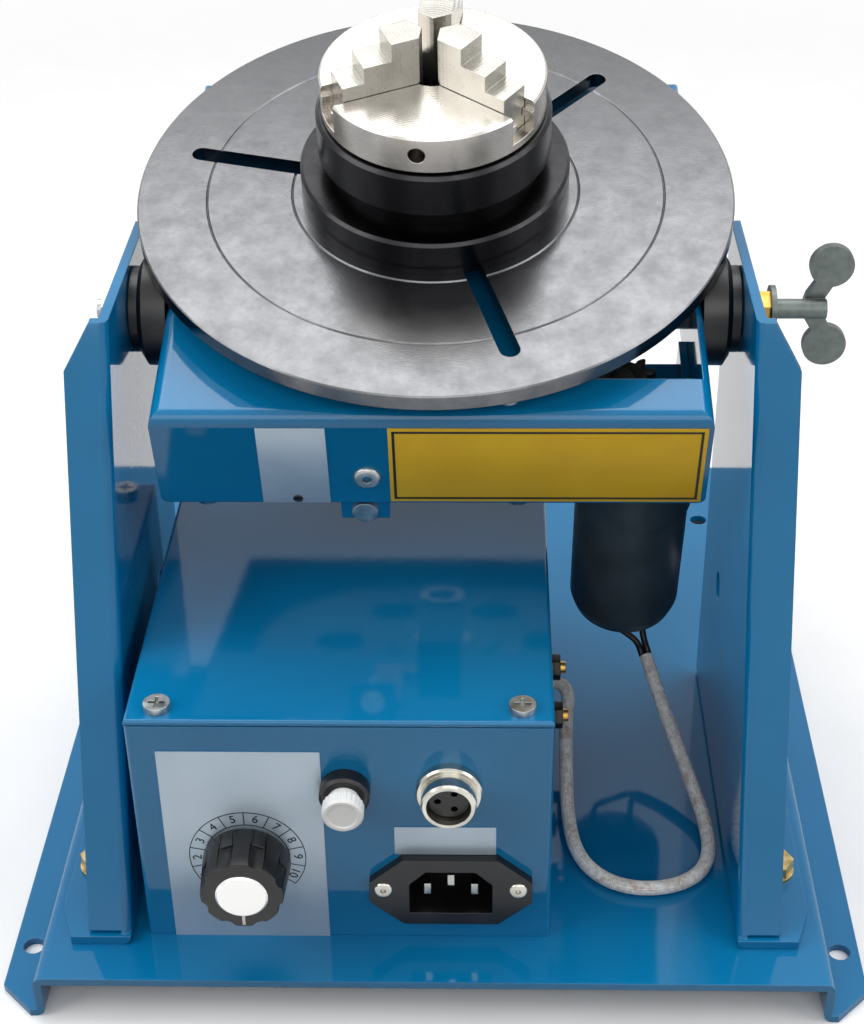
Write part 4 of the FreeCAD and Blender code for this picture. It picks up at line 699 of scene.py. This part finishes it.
# %% Eyelets
EYELET = 5.6
screws_low, screws_high = (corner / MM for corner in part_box("inlet_screws"))
flange_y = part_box("power_inlet")[0].y / MM
eyelet_z = (screws_low.z + screws_high.z) / 2
eyelet_places = (screws_low.x + EYELET / 2, screws_high.x - EYELET / 2)
eyelets = []
for x in eyelet_places:
    eyelet = socket_head(head_mm=EYELET, height_mm=1.7, hole_mm=1.7, sides=32)
    eyelets.append(face_operator(eyelet, x, flange_y, eyelet_z))
eyelets = join(eyelets)
settle(eyelets, "inlet_eyelets", NICKEL, "base")
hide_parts("inlet_screws")
print("inlet eyelets stand", round(eyelet_places[1] - eyelet_places[0], 2), "mm apart")

# %% [markdown]
# ## The speed knob
#
# The knob is a black moulding with eight deep finger flutes, cut back from its face, so
# that the face is lobed and the skirt behind it stays round.  A cylinder is tapered in
# edit mode, the flutes are cut with round bars, and all edges are rounded.  A white line
# on the face is the pointer.

# %% Fluted knob
FLUTES = 8
FLUTE_RADIUS, FLUTE_OUT, FLUTE_START = 3.1, 1.3, 8.5
TAPER = 0.9
KNOB_RADIUS = (knob_high.x - knob_low.x) / 2
KNOB_BACK, KNOB_FRONT = PANEL_Y - knob_high.y, PANEL_Y - knob_low.y


def fluted_knob():
    """A tapered barrel along +Z from the panel, with flutes in its side."""
    length = KNOB_FRONT - KNOB_BACK
    clear_selection()
    bpy.ops.mesh.primitive_cylinder_add(vertices=96, radius=KNOB_RADIUS * MM, depth=length * MM,
                                        location=(0, 0, (KNOB_BACK + length / 2) * MM))
    barrel = bpy.context.object
    bpy.ops.object.transform_apply(location=True, rotation=False, scale=False)
    bpy.ops.object.mode_set(mode="EDIT")
    select_faces(barrel, lambda centre, normal: normal.z > 0.9)
    shrink = 1 - TAPER / KNOB_RADIUS
    bpy.ops.transform.resize(value=(shrink, shrink, 1), center_override=(0, 0, 0))
    bpy.ops.object.mode_set(mode="OBJECT")
    for number in range(FLUTES):
        angle = 2 * math.pi * (number + 0.5) / FLUTES
        reach = (KNOB_RADIUS + FLUTE_OUT) * MM
        middle = (FLUTE_START + length / 2) * MM
        bpy.ops.mesh.primitive_cylinder_add(
            vertices=40, radius=FLUTE_RADIUS * MM, depth=length * MM,
            location=(reach * math.cos(angle), reach * math.sin(angle), middle))
        cut(barrel, bpy.context.object)
    return only(barrel)


knob = bevel(fluted_knob(), 0.5, segments=3, angle=40)
face_operator(knob, KNOB_X, PANEL_Y, KNOB_Z)
settle(knob, "fluted_knob", BLACK_PLASTIC, "knob")
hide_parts("speed_knob")
print("knob reaches", round(KNOB_FRONT, 2), "mm from the panel, with", len(knob.data.polygons), "faces")

# %% Pointer line of the knob
POINTER_PAINT = printing_ink("white_pointer_paint", "#E4E4E0", "#F0F0EC")
POINTER_WIDTH, POINTER_FILM, POINTER_SUNK = 0.9, 0.12, 0.02
RIM_GAP, CAP_GAP = 1.5, 0.1
cap_low, cap_high = (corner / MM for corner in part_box("knob_cap"))
cap_radius = (cap_high.x - cap_low.x) / 2
pointer = plate(KNOB_X - POINTER_WIDTH / 2, KNOB_X + POINTER_WIDTH / 2,
                KNOB_Z - KNOB_RADIUS + RIM_GAP, KNOB_Z - cap_radius - CAP_GAP,
                PANEL_Y - KNOB_FRONT + POINTER_SUNK, POINTER_FILM)
settle(bevel(pointer, 0.04), "knob_pointer_line", POINTER_PAINT, "knob")
print("pointer is", round(KNOB_RADIUS - RIM_GAP - cap_radius - CAP_GAP, 2), "mm long")

# %% [markdown]
# ## Studs on the side of the box
#
# Each stud carries a brass washer, a smaller washer and a blackened nut, and its end
# stands a little out of the nut.  Each ring is a cylinder lying across the box with its
# edges rounded, and what is brass and what is black are joined into one piece each.

# %% Washers and nuts on the studs
# Sides, radius, start and end from the wall, in millimetres.
WASHER_RADIUS = 4.5
WASHER, SMALL_WASHER = (48, WASHER_RADIUS, 0, 1.0), (48, 3.4, 1.0, 1.9)
STUD, NUT = (32, 2.0, -1.0, 7.0), (6, 4.4, 1.9, 5.2)
studs_low, studs_high = (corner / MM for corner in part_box("terminal_studs"))
WALL_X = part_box("control_box")[1].x / MM
STUD_Z = (studs_low.z + studs_high.z) / 2
STUD_ROWS = (studs_low.y + WASHER_RADIUS, studs_high.y - WASHER_RADIUS)


def on_stud(y, sides, radius, start, end):
    """A cylinder across the box, from start to end millimetres out of its wall."""
    clear_selection()
    middle = WALL_X + (start + end) / 2
    bpy.ops.mesh.primitive_cylinder_add(vertices=sides, radius=radius * MM, depth=(end - start) * MM,
                                        location=(middle * MM, y * MM, STUD_Z * MM),
                                        rotation=(0, math.radians(90), 0))
    piece = bpy.context.object
    bpy.ops.object.transform_apply(location=True, rotation=True, scale=False)
    return bevel(piece, 0.25)


brass_set = join([on_stud(y, *form) for y in STUD_ROWS for form in (WASHER, SMALL_WASHER, STUD)])
settle(brass_set, "stud_washers_and_studs", BRASS, "base")
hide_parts("terminal_studs")
nut_set = join([on_stud(y, *NUT) for y in STUD_ROWS])
settle(nut_set, "blackened_stud_nuts", DARK_STEEL, "base")
print("studs stand at", [round(y, 1) for y in STUD_ROWS])

# %% [markdown]
# ## Cable terminal hole
#
# The bare silver plate on the cradle has a small punched hole near its lower edge, for
# the screw of the return cable.  It is drawn as a dark eyelet round a shallow disc of black
# ink, which is painted shade for the depth of the hole.

# %% Terminal hole
HOLE_X, HOLE_Z = -39.0, -21.6
EYE_RADIUS, EYE_WIRE = 1.2, 0.28
SHADE_RADIUS, SHADE_DEPTH = 1.1, 0.08
clear_selection()
bpy.ops.mesh.primitive_torus_add(major_radius=EYE_RADIUS * MM, minor_radius=EYE_WIRE * MM,
                                 major_segments=40, minor_segments=12)
eye = face_operator(bpy.context.object, HOLE_X, CRADLE_FRONT - PLATE_FOIL, HOLE_Z)
settle(eye, "terminal_hole_eyelet", DARK_STEEL, "cradle", CRADLE_AXES)

clear_selection()
bpy.ops.mesh.primitive_cylinder_add(vertices=40, radius=SHADE_RADIUS * MM, depth=SHADE_DEPTH * MM)
shade_y = CRADLE_FRONT - PLATE_FOIL - SHADE_DEPTH / 2
shade = face_operator(bpy.context.object, HOLE_X, shade_y, HOLE_Z)
# The black ink on this disc is painted shade for the hole, not print.
settle(shade, "terminal_hole_shade", BLACK_INK, "cradle", CRADLE_AXES)
print("terminal hole is", 2 * SHADE_RADIUS, "mm wide")

# %% [markdown]
# ## The motor lead
#
# Two wires leave the motor and run in a woven glass-fibre sleeve, which protects them
# from sparks.  It leaves the box, lies in a loop on the base plate and rises to the
# motor.  A smooth curve is drawn through the route, a tube is wrapped about it, and the
# weave is drawn from how far along and how far around the tube a point lies.

# %% Route of the lead
ROUTE = [(69.4, -27.6, 46.5), (74.6, -43, 36.5), (81.2, -63, 26.5), (86.2, -80, 19.6),
         (86.4, -95.5, 18), (79.5, -105.6, 17.9), (66, -109.6, 17.8), (53, -106, 17.8),
         (44.6, -95, 17.9), (42, -80, 20), (41.8, -62, 27), (42.2, -46.5, 34.5),
         (43.6, -37.4, 39.4), (38.4, -34, 41), (32.4, -34, 41)]
SLEEVE = 4.5 * MM

route_data = bpy.data.curves.new("lead_route", "CURVE")
route_data.dimensions = "3D"
spline = route_data.splines.new("NURBS")
spline.points.add(len(ROUTE) - 1)
for point, (x, y, z) in zip(spline.points, ROUTE):
    point.co = (x * MM, y * MM, z * MM, 1)
spline.order_u = 3
spline.use_endpoint_u = True
spline.resolution_u = 16
route = bpy.data.objects.new("lead_route", route_data)
bpy.context.scene.collection.objects.link(route)
bpy.context.view_layer.update()
line = bpy.data.meshes.new_from_object(route)
centres = [v.co.copy() for v in line.vertices]
bpy.data.objects.remove(route)

# %% [markdown]
# ## A tube that knows how long it is
#
# A curve with a bevel would give a tube too, but its pattern would stretch where the
# points lie far apart.  This tube is built ring by ring, and its own UV map holds turns
# around in one direction and millimetres along in the other, so a weave stays even.

# %% Tube along the route
def tube(points, diameter, around, name):
    """A round tube whose UV map holds turns around and millimetres along."""
    tangent = (points[1] - points[0]).normalized()
    across = tangent.cross(Vector((0, 0, 1))).normalized()
    corners, along, travelled = [], [], 0
    for number, point in enumerate(points):
        after = points[min(number + 1, len(points) - 1)]
        before = points[max(number - 1, 0)]
        heading = (after - before).normalized()
        across = (across - heading * across.dot(heading)).normalized()
        upward = heading.cross(across)
        travelled += (point - before).length / MM
        along.append(travelled)
        for step in range(around):
            angle = 2 * math.pi * step / around
            outward = across * math.cos(angle) + upward * math.sin(angle)
            corners.append(point + outward * diameter / 2)
    faces, places = [], []
    for ring, (low, high) in enumerate(zip(along, along[1:])):
        for step in range(around):
            a, b = ring * around + step, ring * around + (step + 1) % around
            faces.append((a, b, b + around, a + around))
            places += [(step / around, low), ((step + 1) / around, low),
                       ((step + 1) / around, high), (step / around, high)]
    last = (len(points) - 1) * around
    for first, cap in ((0, range(around - 1, -1, -1)), (last, range(around))):
        faces.append(tuple(first + step for step in cap))
        places += [(0, 0)] * around
    mesh = bpy.data.meshes.new(name)
    mesh.from_pydata(corners, [], faces)
    uv = mesh.uv_layers.new(name="along")
    for corner, value in zip(uv.data, places):
        corner.uv = value
    piece = bpy.data.objects.new(name, mesh)
    bpy.context.scene.collection.objects.link(piece)
    only(piece)
    bpy.ops.object.mode_set(mode="EDIT")
    bpy.ops.mesh.select_all(action="SELECT")
    bpy.ops.mesh.normals_make_consistent(inside=False)
    bpy.ops.object.mode_set(mode="OBJECT")
    return piece


# %% [markdown]
# ## Woven glass-fibre sleeve
#
# The sleeve is braided from pale strands that cross at a slant and are 0.9 mm wide.  Two
# sets of slanting stripes, one for each direction of the braid, are multiplied to give the
# relief of over and under.  Loose fibres make it fuzzy, and heat and sparks have left rust
# coloured scorches some 5 mm long.

# %% Braid material
STRANDS = 8
SLANT = 0.11


def strands(material, place, sense):
    """Stripes that wind round the tube, SLANT of a turn for each millimetre along it."""
    parts = node(material, "SeparateXYZ", links={"Vector": place})
    winding = node(material, "Math", {"operation": "MULTIPLY"}, {0: parts.outputs["Y"]})
    winding.inputs[1].default_value = sense * SLANT
    turned = node(material, "Math", {"operation": "ADD"},
                  {0: parts.outputs["X"], 1: winding.outputs[0]})
    phase = node(material, "Math", {"operation": "MULTIPLY"}, {0: turned.outputs[0]})
    phase.inputs[1].default_value = STRANDS * 2 * math.pi
    return node(material, "Math", {"operation": "SINE"}, {0: phase.outputs[0]}).outputs[0]


def glass_braid():
    material, shader = new_material("braided_glass_fibre", Roughness=0.6, IOR=1.5, Sheen_Weight=0.2)
    place = node(material, "UVMap", {"uv_map": "along"}).outputs["UV"]
    weave = node(material, "Math", {"operation": "MULTIPLY"},
                 {0: strands(material, place, 1), 1: strands(material, place, -1)})
    fuzz = node(material, "TexNoise", links={"Vector": object_coordinates(material)},
                Scale=per_metre(1.6), Detail=5, Roughness=0.7)
    rust = node(material, "TexNoise", links={"Vector": object_coordinates(material, (0.5, 0, 0))},
                Scale=per_metre(5), Detail=4, Roughness=0.65)
    scorched = node(material, "MixRGB", Color2=colour("#C08E70"))
    vary(material, scorched, fuzz.outputs["Fac"], Color1=("#C9BFB1", "#FBF8F2", 0.30, 0.60))
    vary(material, scorched, rust.outputs["Fac"], Fac=(0.0, 0.55, 0.54, 0.68))
    link(material, scorched.outputs["Color"], shader.inputs["Base Color"])
    emboss(material, shader, 0, (weave.outputs[0], 0.7, 0.18), (fuzz.outputs["Fac"], 0.5, 0.2))
    return material


# %% [markdown]
# ## The sleeve on its route
#
# The tube is wrapped about the route and given the braid, and it takes the place of the
# imported lead, which is hidden.  One end of the lead stays with the box and the other
# goes with the tilting motor, but the tube here is fixed and rides on no body.

# %% Sleeve
lead = tube(centres, SLEEVE, 24, "motor_lead_sleeve")
lead.data.materials.append(glass_braid())
bpy.ops.object.shade_smooth_by_angle(angle=math.radians(60))
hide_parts("motor_lead")
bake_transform(lead)
print("sleeve has", len(lead.data.polygons), "faces")

# %% [markdown]
# ## The two motor wires
#
# The wires come out of the motor and go into the sleeve's upper end.  When the table
# tilts, the motor carries them along, so the pair is a copy that rides on the cradle.

# %% Motor wires
wires = bpy.data.objects.new("motor_wire_pair", nodes["motor_wires"].data.copy())
bpy.context.scene.collection.objects.link(wires)
only(wires)
bpy.ops.object.mode_set(mode="EDIT")
bpy.ops.mesh.select_all(action="SELECT")
bpy.ops.mesh.remove_doubles(threshold=0.001 * MM)
bpy.ops.object.mode_set(mode="OBJECT")
settle(wires, "motor_wire_pair", WIRE_RUBBER, "cradle")
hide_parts("motor_wires")
print("wires have", len(wires.data.polygons), "faces")

# %% [markdown]
# ## White for the eye, darker for the light
#
# A machine is shown on white paper in a white room.  If that white also threw its light
# back at the machine, dark paint and steel would wash out.  A ray knows what it is for, so
# the floor and the room are white for the camera, for reflections and for rays through
# something clear, and darker for the light that bounces on to the machine.

# %% Rays that see white
def looked_at(owner):
    """1 for camera, glossy and transmission rays, and 0 for the light that bounces on."""
    rays = node(owner, "LightPath").outputs
    seen = node(owner, "Math", {"operation": "MAXIMUM"},
                {0: rays["Is Camera Ray"], 1: rays["Is Glossy Ray"]})
    through = node(owner, "Math", {"operation": "MAXIMUM"},
                   {0: seen.outputs[0], 1: rays["Is Transmission Ray"]})
    return through.outputs[0]


# %% [markdown]
# ## The floor
#
# The paper is one large plane with a matt white finish, which keeps the machine's shadow.
# Away from the lamps it would go grey, so from 0.45 m to 1 m out it fades into a plain
# white glow, again only for the rays that look at it.

# %% Floor
FADE_START, FADE_END = 0.45, 1.0
clear_selection()
bpy.ops.mesh.primitive_plane_add(size=12, location=(0, 0, 0))
floor = bpy.context.object
floor.name = "floor"
PAPER, paper_shader = new_material("white_paper_floor", Roughness=0.9, Specular_IOR_Level=0.0,
                                   Emission_Color=(1, 1, 1, 1))
on_floor = object_coordinates(PAPER)
seen_white = looked_at(PAPER)
pulp = node(PAPER, "TexNoise", links={"Vector": on_floor}, Scale=per_metre(30))
paper = node(PAPER, "MixRGB", links={"Fac": seen_white}, Color1=colour("#5A5A5A"))
vary(PAPER, paper, pulp.outputs["Fac"], Color2=("#FAFAFA", "#FEFEFE"))
distance = node(PAPER, "VectorMath", {"operation": "LENGTH"}, {0: on_floor})
far_away = node(PAPER, "MapRange", {"interpolation_type": "SMOOTHSTEP"},
                {"Value": distance.outputs["Value"]}, From_Min=FADE_START, From_Max=FADE_END)
glow = node(PAPER, "Math", {"operation": "MULTIPLY"},
            {0: far_away.outputs["Result"], 1: seen_white})
faded = node(PAPER, "MixRGB", links={"Fac": glow.outputs[0], "Color1": paper.outputs["Color"]},
             Color2=colour("#000000"))
link(PAPER, faded.outputs["Color"], paper_shader.inputs["Base Color"])
link(PAPER, glow.outputs[0], paper_shader.inputs["Emission Strength"])
floor.data.materials.append(PAPER)
print("the floor fades from", FADE_START, "to", FADE_END, "m")

# %% [markdown]
# ## Lamps and room
#
# Large lamps give the enamel long calm highlights and soft shadows.  The brightest hangs
# behind and above, so the table top mirrors it, and three weaker ones fill the front and
# the sides.  Each lamp is a rectangle turned towards the machine.

# %% Lamps
def soft_lamp(name, place, aim_height, size, power):
    lamp = bpy.data.lights.new(name, "AREA")
    lamp.shape = "RECTANGLE"
    lamp.size, lamp.size_y = size
    lamp.energy = power
    holder = bpy.data.objects.new(name, lamp)
    bpy.context.scene.collection.objects.link(holder)
    holder.location = place
    towards = Vector((0, 0, aim_height)) - Vector(place)
    holder.rotation_euler = towards.to_track_quat("-Z", "Y").to_euler()


soft_lamp("overhead", (0.0, 0.34, 1.30), 0.15, (1.7, 0.8), 14)
soft_lamp("key_left", (-1.0, -0.45, 0.9), 0.12, (0.8, 0.8), 6.5)
soft_lamp("fill_right", (1.1, -0.35, 0.8), 0.12, (0.8, 0.6), 4.5)
soft_lamp("front_fill", (0.1, -1.3, 0.9), 0.12, (1.2, 0.8), 5.5)
print("lamps:", [lamp.name for lamp in bpy.data.lights])

# %% White room
ROOM_LIGHT = 0.28
room = bpy.data.worlds.new("studio")
bpy.context.scene.world = room
room.use_nodes = True
background = room.node_tree.nodes["Background"]
background.inputs["Color"].default_value = (1, 1, 1, 1)
strength = node(room, "MapRange", links={"Value": looked_at(room)}, To_Min=ROOM_LIGHT, To_Max=1.0)
link(room, strength.outputs["Result"], background.inputs["Strength"])
print("the room lights the machine with a strength of", ROOM_LIGHT)
